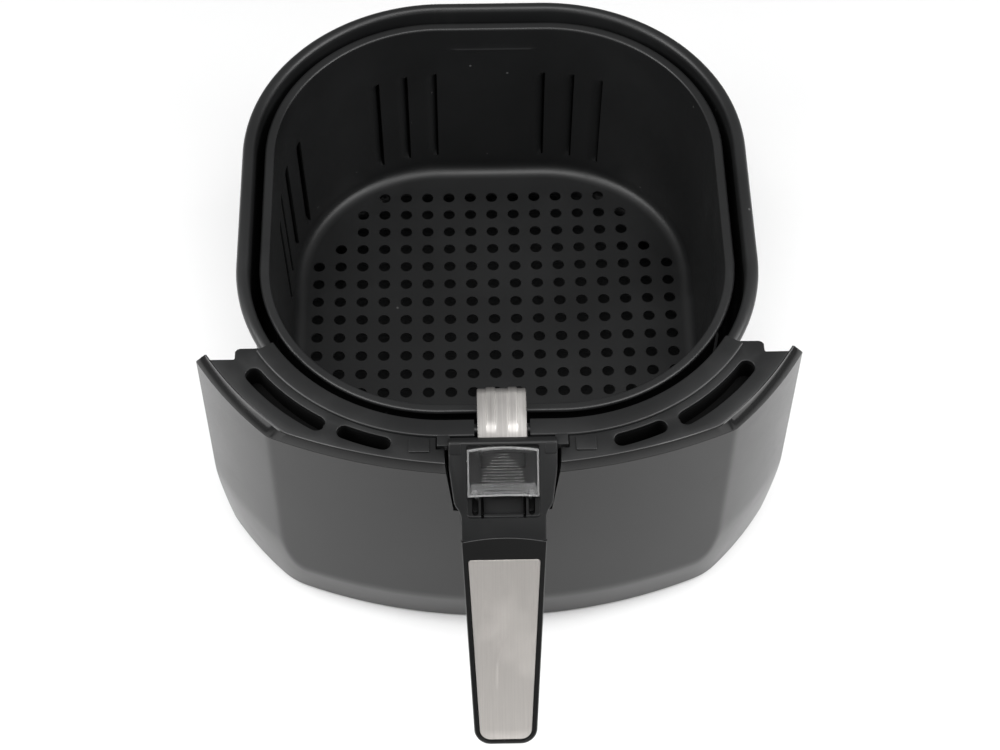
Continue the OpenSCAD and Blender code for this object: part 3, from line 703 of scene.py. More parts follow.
def make_fastener_rule(material):
    """Domed head with a cross recess and its shank, set on each point along its axis."""
    tree, start, end = new_rule("fastener_heads", [
        ("Head Radius", FLOAT, 0.003), ("Head Height", FLOAT, 0.002),
        ("Shank Radius", FLOAT, 0.0015), ("Shank Length", FLOAT, 0.007),
        ("Recess", FLOAT, 1.0)])
    points, head_r, head_h, shank_r, shank_l, recess = start.outputs[:6]
    ball = add(tree, "GeometryNodeMeshUVSphere", {"Segments": 32, "Rings": 16,
                                                  "Radius": head_r}).outputs[0]
    flatten = add(tree, "ShaderNodeCombineXYZ", {0: 1.0, 1: 1.0,
                                                 2: maths(tree, "DIVIDE", head_h, head_r)})
    dome = add(tree, "GeometryNodeTransform", {"Geometry": ball, "Scale": flatten.outputs[0]})
    side = maths(tree, "MULTIPLY", head_r, 4.0)
    lid = add(tree, "GeometryNodeMeshCube", {"Size": add(tree, "ShaderNodeCombineXYZ", {
        0: side, 1: side, 2: side}).outputs[0]}).outputs[0]
    lid = add(tree, "GeometryNodeTransform", {"Geometry": lid, "Translation": add(
        tree, "ShaderNodeCombineXYZ", {2: maths(tree, "MULTIPLY", side, -0.5)}).outputs[0]})
    slots = []
    for turned in (0, 1):
        long, thin = maths(tree, "MULTIPLY", head_r, 1.2), maths(tree, "MULTIPLY", head_r, 0.26)
        size = add(tree, "ShaderNodeCombineXYZ", {
            turned: long, 1 - turned: thin, 2: maths(tree, "MULTIPLY", head_h, 1.3)})
        bar = add(tree, "GeometryNodeMeshCube", {"Size": size.outputs[0]}).outputs[0]
        lift = maths(tree, "ADD", head_h, maths(tree, "MULTIPLY", maths(
            tree, "SUBTRACT", 1.0, recess), head_h))
        slots.append(add(tree, "GeometryNodeTransform", {"Geometry": bar, "Translation": add(
            tree, "ShaderNodeCombineXYZ", {2: lift}).outputs[0]}).outputs[0])
    head = add(tree, "GeometryNodeMeshBoolean", {"Mesh 1": dome.outputs[0]},
               operation="DIFFERENCE", solver="EXACT")
    for cutter in (lid.outputs[0], *slots):
        tree.links.new(cutter, head.inputs["Mesh 2"])
    shank = add(tree, "GeometryNodeMeshCylinder", {"Vertices": 24, "Radius": shank_r,
                                                   "Depth": shank_l}).outputs[0]
    shank = add(tree, "GeometryNodeTransform", {"Geometry": shank, "Translation": add(
        tree, "ShaderNodeCombineXYZ", {2: maths(tree, "MULTIPLY", shank_l, -0.5)}).outputs[0]})
    both = tree.nodes.new("GeometryNodeJoinGeometry")
    tree.links.new(head.outputs[0], both.inputs[0])
    tree.links.new(shank.outputs[0], both.inputs[0])
    axis = add(tree, "GeometryNodeInputNamedAttribute", {"Name": "axis"},
               data_type="FLOAT_VECTOR").outputs[0]
    turn = add(tree, "FunctionNodeAlignRotationToVector", {"Vector": axis}, axis="Z").outputs[0]
    set_on = add(tree, "GeometryNodeInstanceOnPoints", {"Points": points,
                                                        "Instance": both.outputs[0],
                                                        "Rotation": turn})
    close_rule(tree, end, set_on.outputs[0], material)
    return tree


fastener_rule = make_fastener_rule(zinc_steel)


def fasteners(name, node, body, slot, places, axis, head_r, head_h, shank_r, shank_l, recess=1.0):
    """Screws or rivets in place of a CAD node, on given places, heads along an axis."""
    piece = run_rule(name, fastener_rule, places, attributes={"axis": [axis] * len(places)},
                     **{"Head Radius": head_r * MM, "Head Height": head_h * MM,
                        "Shank Radius": shank_r * MM, "Shank Length": shank_l * MM,
                        "Recess": recess})
    return finish_piece(piece, body, slot, node)


# ---- Pan ----

def make_pan():
    wall = BEAD_D - SHEET
    centre_z = PAN_TOP - BEAD_D / 2
    profile = arc(-wall - PAN_FILLET, PAN_FILLET, PAN_FILLET - SHEET, -90, 0, 8)
    profile += arc(-BEAD_D / 2, centre_z, BEAD_D / 2, 180, -133, 22)
    profile += arc(-wall - PAN_FILLET, PAN_FILLET, PAN_FILLET, 0, -90, 8)
    shape = (PAN_HW, PAN_HD, PAN_CORNER)
    count = 300
    total = round_length(*shape)
    rings = sweep_ring(shape, profile, [total * i / count for i in range(count)])
    verts, faces = loft(rings, closed_ring=False, closed_ends=True)
    n = len(profile)
    faces.append(tuple(i * n for i in range(count)))
    faces.append(tuple(i * n + n - 1 for i in range(count)))
    return finish_piece(make_piece("coated_pan", verts, faces, coated_steel), "drawer",
                        "coated_steel", "pan")


# ---- Basket ----

LOUVRE_Z = (BASKET_TOP - 99.6, BASKET_TOP - 33.6)
LOUVRE_W = 6.5
LOUVRE_DEPTH = 2.3
SLIT = 0.17        # share of the louvre that is cut open
BACK_LOUVRES = (29.4, 45.6, 61.2)
SIDE_LOUVRES = (19.0, 37.0, 56.0, 73.0)
FILL_Z = BASKET_TOP - 15
FILL_HALF = 24.0
WALL_LOW = FLOOR_Z - SHEET + BASKET_FILLET


def dish(x, y):
    """Height of the floor: lowest in its middle."""
    reach = (x / 100) ** 2 + ((y - BASKET_Y) / 108) ** 2
    return FLOOR_Z - FLOOR_DISH * 0.4 + FLOOR_DISH * 0.8 * min(1.0, reach)


def make_perforation_rule(material):
    """Fills a floor outline and leaves a field of round holes whose corners are cut off."""
    tree, start, end = new_rule("floor_perforations", [
        ("Pitch", FLOAT, 0.012), ("Hole Radius", FLOAT, 0.0032), ("Across", "NodeSocketInt", 17),
        ("Corner Cut", FLOAT, 13.65), ("Side Weight", FLOAT, 1.1), ("Height", FLOAT, 0.024),
        ("Centre Y", FLOAT, 0.0)])
    outline, pitch, radius, across, cut_off, weight, height, centre = start.outputs[:8]
    size = maths(tree, "MULTIPLY", pitch, maths(tree, "SUBTRACT", across, 1.0))
    grid = add(tree, "GeometryNodeMeshGrid", {"Size X": size, "Size Y": size,
                                              "Vertices X": across, "Vertices Y": across})
    place = add(tree, "ShaderNodeSeparateXYZ", {
        0: tree.nodes.new("GeometryNodeInputPosition").outputs[0]})
    far = maths(tree, "ADD",
                maths(tree, "MULTIPLY", maths(tree, "ABSOLUTE", place.outputs[0]), weight),
                maths(tree, "ABSOLUTE", place.outputs[1]))
    outside = maths(tree, "GREATER_THAN", far, maths(tree, "MULTIPLY", cut_off, pitch))
    kept = add(tree, "GeometryNodeDeleteGeometry", {"Geometry": grid.outputs[0],
                                                    "Selection": outside}, domain="POINT")
    hole = add(tree, "GeometryNodeCurvePrimitiveCircle", {"Resolution": 20, "Radius": radius})
    shift = add(tree, "ShaderNodeCombineXYZ", {1: centre, 2: height}).outputs[0]
    moved = add(tree, "GeometryNodeTransform", {"Geometry": kept.outputs[0], "Translation": shift})
    holes = add(tree, "GeometryNodeInstanceOnPoints", {"Points": moved.outputs[0],
                                                       "Instance": hole.outputs[0]})
    real = add(tree, "GeometryNodeRealizeInstances", {0: holes.outputs[0]})
    edge = add(tree, "GeometryNodeMeshToCurve", {0: outline})
    both = tree.nodes.new("GeometryNodeJoinGeometry")
    tree.links.new(real.outputs[0], both.inputs[0])
    tree.links.new(edge.outputs[0], both.inputs[0])
    sheet = add(tree, "GeometryNodeFillCurve", {0: both.outputs[0]})
    close_rule(tree, end, sheet.outputs[0], material)
    return tree


def louvre_list(shape, total):
    """Spans along the wall's upper outline: start, end, with the slit at the start."""
    spans = []
    stations = 6000
    best = {}
    wanted = []
    for x in BACK_LOUVRES:
        wanted += [((x, 1), (0, 1)), ((-x, 1), (0, 1))]
    for y in SIDE_LOUVRES:
        wanted += [((-1, y), (-1, 0)), ((1, -y), (1, 0))]
    for target, facing in wanted:
        near = None
        for i in range(stations):
            s = total * i / stations
            p, d = round_point(*shape, s)
            if facing[1]:
                if d[1] < 0.3:
                    continue
                gap = abs(p[0] - target[0])
            else:
                if d[0] * facing[0] < 0.3:
                    continue
                gap = abs(p[1] - target[1])
            if near is None or gap < near[0]:
                near = (gap, s)
        spans.append((near[1], near[1] + LOUVRE_W))
    return sorted(spans)


def make_basket():
    hw, hd, r = BASKET_WALL
    shape = (hw, hd, r)
    total = round_length(*shape)
    spans = louvre_list(shape, total)
    marks = {round(total * i / 260, 3) for i in range(260)}
    for a, b in spans:
        marks = {m for m in marks if not a - 0.6 < m < b + 0.6}
        marks |= {round(a + (b - a) * f, 3) for f in (0, SLIT, 0.4, 0.6, 0.8, 1)}
    stations = sorted(marks)
    z0, z1 = LOUVRE_Z
    heights = [WALL_LOW + (z0 - WALL_LOW) * f for f in (0, 0.5)]
    heights += [z0, z0 + 0.8, z0 + 2, z0 + 4]
    heights += [z0 + 4 + (z1 - z0 - 8) * i / 12 for i in range(1, 12)]
    heights += [z1 - 4, z1 - 2, z1 - 0.8, z1, z1 + 5, z1 + 11, z1 + 16.6]
    heights += [FILL_Z + d for d in (-1, -0.5, 0, 0.5, 1, 4.4, 8.4)]
    slope = WALL_LEAN / (BASKET_TOP - WALL_LOW)

    def wall_point(s, z, span=None):
        (x, y), (dx, dy) = round_point(*shape, s)
        out = -SHEET - (BASKET_TOP - z) * slope
        if span and z0 < z < z1:
            ends = min(1.0, (z - z0) / 5, (z1 - z) / 5)
            across = min(1.0, (span[1] - s) / (span[1] - span[0]) / (1 - SLIT))
            swell = 1 - math.cos(across * math.pi / 2)
            out += LOUVRE_DEPTH * math.sin(ends * math.pi / 2) * swell
        if dy > 0.99 and abs(x) < FILL_HALF and abs(z - FILL_Z) < 0.8:
            out -= 0.45 * (1 - abs(z - FILL_Z) / 0.8)
        return (x + dx * out, y + dy * out + BASKET_Y, z)

    verts, faces = [], []
    count = len(stations)
    for i in range(count):
        a, b = stations[i], stations[(i + 1) % count]
        span = next((p for p in spans if p[0] - 0.01 < a and b < p[1] + 0.01 and b > a), None)
        for low, high in zip(heights, heights[1:]):
            if span and a < span[0] + 0.01 and low > z0 - 0.1 and high < z1 + 0.1:
                continue
            start = len(verts)
            verts += [wall_point(a, low, span), wall_point(b, low, span),
                      wall_point(b, high, span), wall_point(a, high, span)]
            faces.append((start, start + 1, start + 2, start + 3))
    # Rim: the wall's top turns out into a flat flange whose edge curls down.
    top_in = -SHEET - (BASKET_TOP - heights[-1]) * slope
    rim = [(top_in, heights[-1]), (-SHEET - 0.05, BASKET_TOP - 2.2)]
    rim += arc(0.4, BASKET_TOP - 1.6, 1.4, 170, 90, 5)
    rim += [(RIM_W * 0.55, BASKET_TOP)]
    rim += arc(RIM_W - 1.3, BASKET_TOP - 1.3, 1.3, 90, 0, 5)
    # Fillet between the wall and the floor, and the floor's edge.
    centre = -SHEET - WALL_LEAN - BASKET_FILLET + SHEET
    low_fillet = arc(centre, WALL_LOW, BASKET_FILLET - SHEET, 0, -90, 8)
    for profile in (rim, low_fillet):
        rings = sweep_ring(shape, profile, stations, BASKET_Y)
        v, f = loft(rings, closed_ring=False, closed_ends=True)
        if profile is low_fillet:
            v = [(x, y, z + (dish(x, y) - FLOOR_Z) * (WALL_LOW - z) / (WALL_LOW - FLOOR_Z))
                 for x, y, z in v]
        faces += [tuple(len(verts) + i for i in face) for face in f]
        verts += v
    edge = [ring[-1] for ring in sweep_ring(shape, low_fillet, stations, BASKET_Y)]
    floor_edge = [(x, y, FLOOR_Z) for x, y, z in edge]
    floor = run_rule("basket_floor", make_perforation_rule(coated_steel), floor_edge,
                     [(i, (i + 1) % count) for i in range(count)],
                     **{"Pitch": HOLE_PITCH * MM, "Hole Radius": HOLE_R * MM,
                        "Height": FLOOR_Z * MM, "Centre Y": BASKET_Y * MM})
    start = len(verts)
    for v in floor.data.vertices:
        x, y, z = v.co / MM
        verts.append((x, y, dish(x, y)))
    faces += [tuple(start + i for i in p.vertices) for p in floor.data.polygons]
    bpy.data.objects.remove(floor)
    piece = make_piece("perforated_basket", verts, faces, coated_steel)
    low_face = min(piece.data.polygons,
                   key=lambda p: abs(p.center.x) + abs(p.center.y) + p.center.z)
    if low_face.normal.z > 0:
        piece.data.flip_normals()
    modify(piece, "SOLIDIFY", thickness=SHEET * MM, offset=1.0, use_even_offset=True)
    bake_modifiers(piece)
    return finish_piece(piece, "basket", "coated_steel", "basket")


# ---- Front panel, band and trim ----

def notch_half(z):
    """Half-width of the handle's opening at a height."""
    foot = GRIP_W / 2 + 3.45
    return foot + (27.5 - foot) * (z - NOTCH_Z) / (BASE_Z + 3 - NOTCH_Z)


def notch_prism(name, gap=0.0):
    low, high = NOTCH_Z, BASE_Z + 3
    foot, top = notch_half(low) - gap, notch_half(high) - gap
    shape = [(-foot, low), (foot, low), (top, high), (-top, high)]
    rings = [[(x, y, z) for x, z in shape] for y in (NOTCH_Y, FRONT_Y - 30)]
    verts, faces = loft(rings, caps=True)
    return make_piece(name, verts, faces, trim_black)


def make_panel():
    columns = 260
    heights = [SKIN_FOOT + 0.96 * i for i in range(46)]
    heights += [heights[-1] + (SKIN_TOP - heights[-1]) * i / 26 for i in range(1, 27)]
    verts, faces = [], []
    for z in heights:
        end = tip_x(facet_lean(z), TIP[1])
        verts += [(end * t, skin_y(end * t, z), z)
                  for t in (2 * i / columns - 1 for i in range(columns + 1))]
    n = columns + 1
    for i in range(len(heights) - 1):
        faces += [(i * n + j, i * n + j + 1, (i + 1) * n + j + 1, (i + 1) * n + j)
                  for j in range(columns)]
    piece = make_piece("steel_front_panel", verts, faces, dark_stainless)
    if piece.data.polygons[columns // 2].normal.y > 0:
        piece.data.flip_normals()
    modify(piece, "SOLIDIFY", thickness=SKIN_T * MM, offset=-1.0, use_even_offset=True)
    bake_modifiers(piece)
    cut(piece, [notch_prism("notch_cutter")])
    return finish_piece(piece, "drawer", "dark_stainless", "front_panel")


def make_edge_band():
    profile = [(0.15, 0.15, SKIN_TOP), (0.0, 0.0, SKIN_TOP + 0.3), (0.1, 0.2, SKIN_TOP + 0.8),
               (BAND_FRONT - 0.3, BAND_SIDE - 0.7, TRIM_TOP - 0.4),
               (BAND_FRONT - 0.1, BAND_SIDE - 0.3, TRIM_TOP - 0.1),
               (BAND_FRONT + 0.2, BAND_SIDE + 0.2, TRIM_TOP),
               (BAND_FRONT + 0.2, BAND_SIDE + 0.2, SKIN_TOP)]
    rings = [[(x, y, z) for x, y in panel_outline(f, s)] for f, s, z in profile]
    columns = [list(c) for c in zip(*rings)]
    verts, faces = loft(columns, caps=True)
    piece = make_piece("sloped_edge_band", verts, faces, frame_black, 18)
    cut(piece, [notch_prism("notch_cutter")], 18)
    return finish_piece(piece, "drawer", "gloss_black", "edge_band")


CORNER_C = (PAN_HW - PAN_CORNER, -PAN_HD + PAN_CORNER)
TRIM_REAR = TIP[1] - 3.0
# Radius, width and the two end angles of each vent slot.
LONG_SLOT = (PAN_CORNER + 11, 8, -37, -58)
SHORT_SLOT = (PAN_CORNER + 9.3, 7, -65, -75)
TRIM_BOSSES = ((PAN_HW - 0.2, -PAN_HD + 38.7), (PAN_HW - 47.7, -PAN_HD + 5.2))
BOSS_LENGTH = 13.5


def front_path(offset, rear_y, n=26):
    """Points and directions round the pan's front, from its right side to its left."""
    r = PAN_CORNER + offset
    low = math.degrees(math.asin((rear_y - CORNER_C[1]) / r))
    right = [((CORNER_C[0] + r * math.cos(a), CORNER_C[1] + r * math.sin(a)),
              (math.cos(a), math.sin(a)))
             for a in (math.radians(low + (-90 - low) * i / n) for i in range(n + 1))]
    left = [((-p[0], p[1]), (-d[0], d[1])) for p, d in reversed(right)]
    return right + left


def curved_slot(r, w, a0, a1):
    """Loop of a slot that follows the pan's corner, between two angles."""
    def at(radius, angle):
        a = math.radians(angle)
        return (CORNER_C[0] + radius * math.cos(a), CORNER_C[1] + radius * math.sin(a))
    loop = [at(r + w / 2, a1 + (a0 - a1) * i / 16) for i in range(17)]
    end = at(r, a0)
    loop += [(end[0] + w / 2 * math.cos(b), end[1] + w / 2 * math.sin(b))
             for b in (math.radians(a0 + 180 * i / 8) for i in range(1, 8))]
    loop += [at(r - w / 2, a0 + (a1 - a0) * i / 16) for i in range(17)]
    end = at(r, a1)
    loop += [(end[0] + w / 2 * math.cos(b), end[1] + w / 2 * math.sin(b))
             for b in (math.radians(a1 + 180 + 180 * i / 8) for i in range(1, 8))]
    return loop


def make_trim():
    flip = [(-1, 1, 1), (1, 1, 1)]
    parts = []
    half = notch_half(TRIM_TOP)
    for side, _, _ in flip:
        front = [p for p in panel_outline(BAND_FRONT + 0.1, BAND_SIDE + 0.1, rear=TRIM_REAR)
                 if p[0] > half]
        loop = [(half, outline_y(half, BAND_FRONT + 0.1, BAND_SIDE + 0.1))] + front
        loop += [(125.5, TRIM_REAR), (125.0, TRIM_REAR + 0.6), (125.0, TRIM_REAR + 4.4)]
        loop += [(124.0, TRIM_REAR + 5.7), (122.5, TRIM_REAR + 6.2), (112.6, TRIM_REAR + 6.2)]
        loop += [p for p, d in front_path(0.3, TRIM_REAR + 6.0) if p[0] > half]
        loop += [(half, -PAN_HD - 0.3), (half, NOTCH_Y - 1.4), (30.6, NOTCH_Y - 1.4),
                 (30.6, NOTCH_Y - 8.2), (half, NOTCH_Y - 8.2)]
        holes = [curved_slot(*LONG_SLOT), curved_slot(*SHORT_SLOT)]

        def place(x, y, z, side=side):
            return (side * x, y, z)
        parts.append(slab("trim_plate", [loop] + holes, TRIM_TOP - 3, TRIM_TOP, 0.35, trim_black,
                          place))
        # Low walls under the plate that line each slot, and a sheet closing each slot beneath, in a
        # darker copy of the trim plastic: painted shade inside the slots.
        for hole in holes:
            wider = [(p[0] + m.x * 1.2, p[1] + m.y * 1.2) for p, m in zip(hole, loop_normals(hole))]
            parts.append(slab("slot_wall", [wider, hole], TRIM_TOP - 13, TRIM_TOP - 2.6, 0.3,
                              painted_slot_shade_black, place))
            parts.append(slab("slot_shade_backing_sheet", [wider], TRIM_TOP - 14, TRIM_TOP - 12.8, 0.3,
                              painted_slot_shade_black, place))
        parts.append(slab("raised_square", [rounded_rect(33.6, 43.2, -148, -140.4, 0.8, 3)],
                          TRIM_TOP - 1, TRIM_TOP + 0.8, 0.4, trim_black, place))
        # Collar over the bead, from the strap's gap round to the rear tab.
        gap = strap_high.x + 1.5
        path = [(p, d) for p, d in front_path(0, TRIM_REAR + 5.6) if p[0] > gap]
        path.append(((gap, -PAN_HD), (0.0, -1.0)))
        section = [(-BEAD_D, PAN_TOP + 0.1)] + arc(-BEAD_D + 1.2, PAN_TOP + 1.0, 1.2, 180, 90, 4)
        section += arc(2.2, PAN_TOP + 1.2, 1.0, 90, 0, 4) + [(3.2, PAN_TOP + 0.1)]
        rings = [[(p[0] + d[0] * o, p[1] + d[1] * o, z) for o, z in section] for p, d in path]
        verts, faces = loft(rings, caps=True)
        parts.append(make_piece("bead_collar", [place(*v) for v in verts], faces, trim_black, 50))
        for bx, by in TRIM_BOSSES:
            parts.append(slab("screw_boss", [circle_loop(bx, by, 3.4, 24)],
                              TRIM_TOP - BOSS_LENGTH, TRIM_TOP - 2.8, 0.3, trim_black, place))
    low, top = NOTCH_Z, TRIM_TOP - 0.4
    outer = [(-notch_half(low) - 2, low - 2), (notch_half(low) + 2, low - 2),
             (notch_half(top) + 2, top), (notch_half(top), top),
             (notch_half(low), low), (-notch_half(low), low),
             (-notch_half(top), top), (-notch_half(top) - 2, top)]
    parts.append(slab("notch_liner", [outer], NOTCH_Y - 13, NOTCH_Y - 5, 0.2, trim_black,
                      lambda x, y, z: (x, z, y)))
    piece = join("top_trim_cover", parts, 45)
    return finish_piece(piece, "drawer", "black_plastic", "top_trim")


# ---- Handle ----

def prism(name, section, low, high, material, place):
    rings = [[place(u, v, w) for u, v in section] for w in (low, high)]
    verts, faces = loft(rings, caps=True)
    return make_piece(name, verts, faces, material)


def make_base():
    rear = NOTCH_Y - 3.6
    grip_back = on_grip(0, 0, -FRAME_T - COVER_T)
    side_view = [(rear, BASE_Z - 43), (rear, BASE_Z - 3.5), (BASE_Y - 0.4, BASE_Z - 0.2),
                 (BEND[1], BEND[2]), (grip_back[1], grip_back[2]), (FRONT_Y - 2, NOTCH_Z + 1.5)]
    body = prism("housing", side_view, -25, 25, housing_black, lambda y, z, x: (x, y, z))
    right = [(25, 12), (25, -12), (24.6, -15), (22.9, -28), (22.2, -30.2), (20.4, -32.8),
             (GRIP_W / 2, -35), (GRIP_W / 2, -80)]
    face = [(-x, y) for x, y in right] + right[::-1]
    outline = prism("outline", face, -80, 12, housing_black, lambda x, y, n: on_base(x, -y, n))
    modify(body, "BOOLEAN", operation="INTERSECT", solver="EXACT", object=outline)
    bake_modifiers(body)
    bpy.data.objects.remove(outline)
    opening = notch_prism("housing_sides", 0.6)
    modify(body, "BOOLEAN", operation="INTERSECT", solver="EXACT", object=opening)
    bake_modifiers(body)
    bpy.data.objects.remove(opening)
    soften(body, 1.1, 3, 25)
    well = (guard_high.x - guard_low.x) / 2 + 0.3
    cutters = [slab("well", [rounded_rect(-well, well, -36, -2, 1.6, 4)], -4.0, 12, 0.4,
                    housing_black, lambda x, y, n: on_base(x, -y, n))]
    cutters.append(slab("button_well", [rounded_rect(-10.4, 10.4, -13.6, -6.4, 1.2, 4)], -10.5, 1,
                        0.2, housing_black, lambda x, y, n: on_base(x, -y, n)))
    for x in (-PEG_X, PEG_X):
        cutters.append(slab("peg_slot", [rounded_rect(x - 1.5, x + 1.5, -35.2, -22.5, 1.4, 4)],
                            -14, 0, 0.2, housing_black, lambda x, y, n: on_base(x, -y, n)))
    for x in (-9.7, 9.7):
        cutters.append(slab("inner_slot", [rounded_rect(x - 0.7, x + 0.7, -36.4, -24, 0.5, 3)],
                            -14, 0, 0.2, housing_black, lambda x, y, n: on_base(x, -y, n)))
    # Finger recess between the slots, in front of the button.
    recess = [(20.0, -8.0), (34.6, -8.0), (34.9, 1.0), (20.0, 1.0)]
    cutters.append(prism("finger_ramp", [on_base(0, s, n)[1:] for s, n in recess], -8.9, 8.9,
                         housing_black, lambda y, z, x: (x, y, z)))
    cut(body, cutters, 40)
    parts = [body]
    for side in (-1, 1):
        parts.append(slab("ear", [rounded_rect(24.2, 30.2, NOTCH_Y - 7.8, NOTCH_Y - 1.8, 0.7, 3)],
                          TRIM_TOP - 2, TRIM_TOP + 2, 0.5, housing_black,
                          lambda x, y, z, side=side: (side * x, y, z)))
        parts.append(slab("shoulder_step", [rounded_rect(19.3, 24.6, -6.5, -1.2, 0.7, 3)],
                          -1.5, 0.5, 0.35, housing_black,
                          lambda x, y, n, side=side: on_base(side * x, -y, n)))
    piece = join("handle_housing", parts, 40)
    return finish_piece(piece, "basket", "black_plastic", "handle_base")


def make_ridge_rule(material):
    """Row of low bars across the guard, each as long as a dome's width at its place."""
    tree, start, end = new_rule("guard_ridges", [
        ("Count", "NodeSocketInt", 13), ("Pitch", FLOAT, 0.0013), ("Width", FLOAT, 0.02),
        ("Ridge Width", FLOAT, 0.0005), ("Power", FLOAT, 0.7), ("Tilt", FLOAT, 0.7)])
    origin, count, pitch, width, ridge, power, tilt = start.outputs[:7]
    step = add(tree, "ShaderNodeCombineXYZ", {1: maths(tree, "MULTIPLY", pitch, -1.0)}).outputs[0]
    row = add(tree, "GeometryNodeMeshLine", {"Count": count, "Offset": step}).outputs[0]
    index = tree.nodes.new("GeometryNodeInputIndex").outputs[0]
    share = maths(tree, "DIVIDE", index, maths(tree, "MULTIPLY", count, 0.715))
    dome = maths(tree, "SUBTRACT", 1.0, maths(tree, "POWER", maths(
        tree, "ABSOLUTE", maths(tree, "SUBTRACT", 1.0, share)), 2.0))
    reach = maths(tree, "MAXIMUM", maths(tree, "POWER", dome, power), 0.22)
    scale = add(tree, "ShaderNodeCombineXYZ", {0: maths(tree, "MULTIPLY", reach, width),
                                               1: ridge, 2: ridge}).outputs[0]
    bar = add(tree, "GeometryNodeMeshCylinder", {"Vertices": 10, "Radius": 0.5,
                                                 "Depth": 1.0}).outputs[0]
    bar = add(tree, "GeometryNodeTransform", {"Geometry": bar, "Rotation": (0, math.pi / 2, 0)})
    bars = add(tree, "GeometryNodeInstanceOnPoints", {"Points": row, "Instance": bar.outputs[0],
                                                      "Scale": scale})
    turn = add(tree, "ShaderNodeCombineXYZ", {0: tilt}).outputs[0]
    laid = add(tree, "GeometryNodeTransform", {"Geometry": bars.outputs[0], "Rotation": turn})
    rows = add(tree, "GeometryNodeInstanceOnPoints", {"Points": origin,
                                                      "Instance": laid.outputs[0]})
    close_rule(tree, end, rows.outputs[0], material)
    return tree


GUARD = (guard_high.x - guard_low.x, 3.1, 26.4, -3.7, -0.5)


def guard_loop(inset, bow, sag):
    """Outline of the guard seen square to its face, with a bowed rear and front edge."""
    w, s0, s1 = GUARD[0] / 2 - inset, GUARD[1] + inset, GUARD[2] - inset
    loop = [(w * (1 - 2 * i / 12), -(s0 + bow * (1 - 2 * i / 12) ** 2)) for i in range(13)]
    loop += [(w * (2 * i / 12 - 1), -(s1 - sag * (1 - (2 * i / 12 - 1) ** 2))) for i in range(13)]
    return loop


def make_guard():
    def place(x, y, n):
        return on_base(x, -y, n)
    low, high = GUARD[3], GUARD[4]
    top = slab("guard_top", [guard_loop(0.95, 1.4, 0.5)], high - 1.3, high - 0.35, 0.1,
               clear_guard, place, 2, 30)
    # The skirt is in the whiter, less clear copy: painted highlight of the rim's bright edges.
    skirt = slab("guard_skirt", [guard_loop(0, 1.4, 0.5), guard_loop(0.9, 1.4, 0.5)], low,
                 high, 0.25, guard_rim_painted_highlight, place, 3, 40)
    ridges = run_rule("guard_ridges", make_ridge_rule(clear_guard),
                      [on_base(0, GUARD[1] + 3.4, high - 0.4)], sharp=50,
                      **{"Pitch": 0.00138, "Width": 0.0196, "Tilt": BASE_TILT})
    pegs = []
    for x in (-PEG_X, PEG_X):
        pegs.append(slab("guard_peg", [circle_loop(x, -24, 1.15, 20)], low - 3, low + 0.6, 0.25,
                         clear_guard, place))
    for x in (-12.2, 12.2):
        pegs.append(slab("guard_foot", [circle_loop(x, -GUARD[2] - 0.2, 0.8, 16)], low,
                         low + 1.6, 0.2, clear_guard, place))
    piece = join("clear_guard", [top, skirt, ridges] + pegs, 50)
    return finish_piece(piece, "guard", "clear_guard", "button_guard")


def make_button():
    def place(x, y, n):
        return on_base(x, -y, n)
    parts = [slab("button_cap", [rounded_rect(-10, 10, -13.2, -6.8, 1.3, 5)], -7, -4.05, 0.5,
                  button_black, place)]
    parts.append(slab("button_stem", [circle_loop(0, -10, 2, 28)], -16.5, -6.6, 0.3,
                      button_black, place))
    return finish_piece(join("release_button_cap", parts, 40), "button", "button_plastic",
                        "release_button")


def grip_half(g, inset=0.0):
    """Half-width of the grip at a distance down its face."""
    straight = GRIP_L - 8.0
    if g <= straight:
        return GRIP_W / 2 - inset - (GRIP_W - GRIP_END_W) / 2 * max(g, -3) / straight
    return GRIP_END_W / 2 - 8 + math.sqrt(max(0.0, (8 - inset) ** 2 - (g - straight) ** 2))


def grip_loop(inset, top, bow=0.0, corner=0.0):
    """Anticlockwise outline of the grip, set in by a distance, with a bowed or round top."""
    straight = GRIP_L - 8.0
    end = 8 - inset
    x0 = GRIP_END_W / 2 - 8
    right = [(x0 + end * math.cos(a), -straight + end * math.sin(a))
             for a in (math.radians(-90 + 90 * i / 9) for i in range(10))]
    left = [(-x, y) for x, y in reversed(right)]
    w = grip_half(top, inset)
    if corner:
        top_right = arc(w - corner, -top - corner, corner, 0, 90, 6)
        rear = top_right + [(-x, y) for x, y in reversed(top_right)]
    else:
        rear = [(w * (1 - 2 * i / 16), -top + bow * (1 - (1 - 2 * i / 16) ** 2)) for i in range(17)]
    return right + rear + left


def make_frame():
    def place(x, y, n):
        return on_grip(x, -y, n)
    body = slab("grip_frame", [grip_loop(0, 0, 2.2)], -FRAME_T, 0, 1.0, frame_black, place, 4)
    cutter = slab("plate_recess", [grip_loop(2.4, 9.0, 0, 1.6)], -1.4, 6, 0.1, frame_black, place)
    cut(body, [cutter], 40)
    return finish_piece(body, "basket", "gloss_black", "handle_frame")


def make_plate():
    piece = slab("brushed_grip_plate", [grip_loop(2.55, 9.15, 0, 1.5)], -1.4, -0.2, 0.35,
                 plate_steel, lambda x, y, n: on_grip(x, -y, n), 4)
    return finish_piece(piece, "basket", "brushed_plate", "handle_plate")


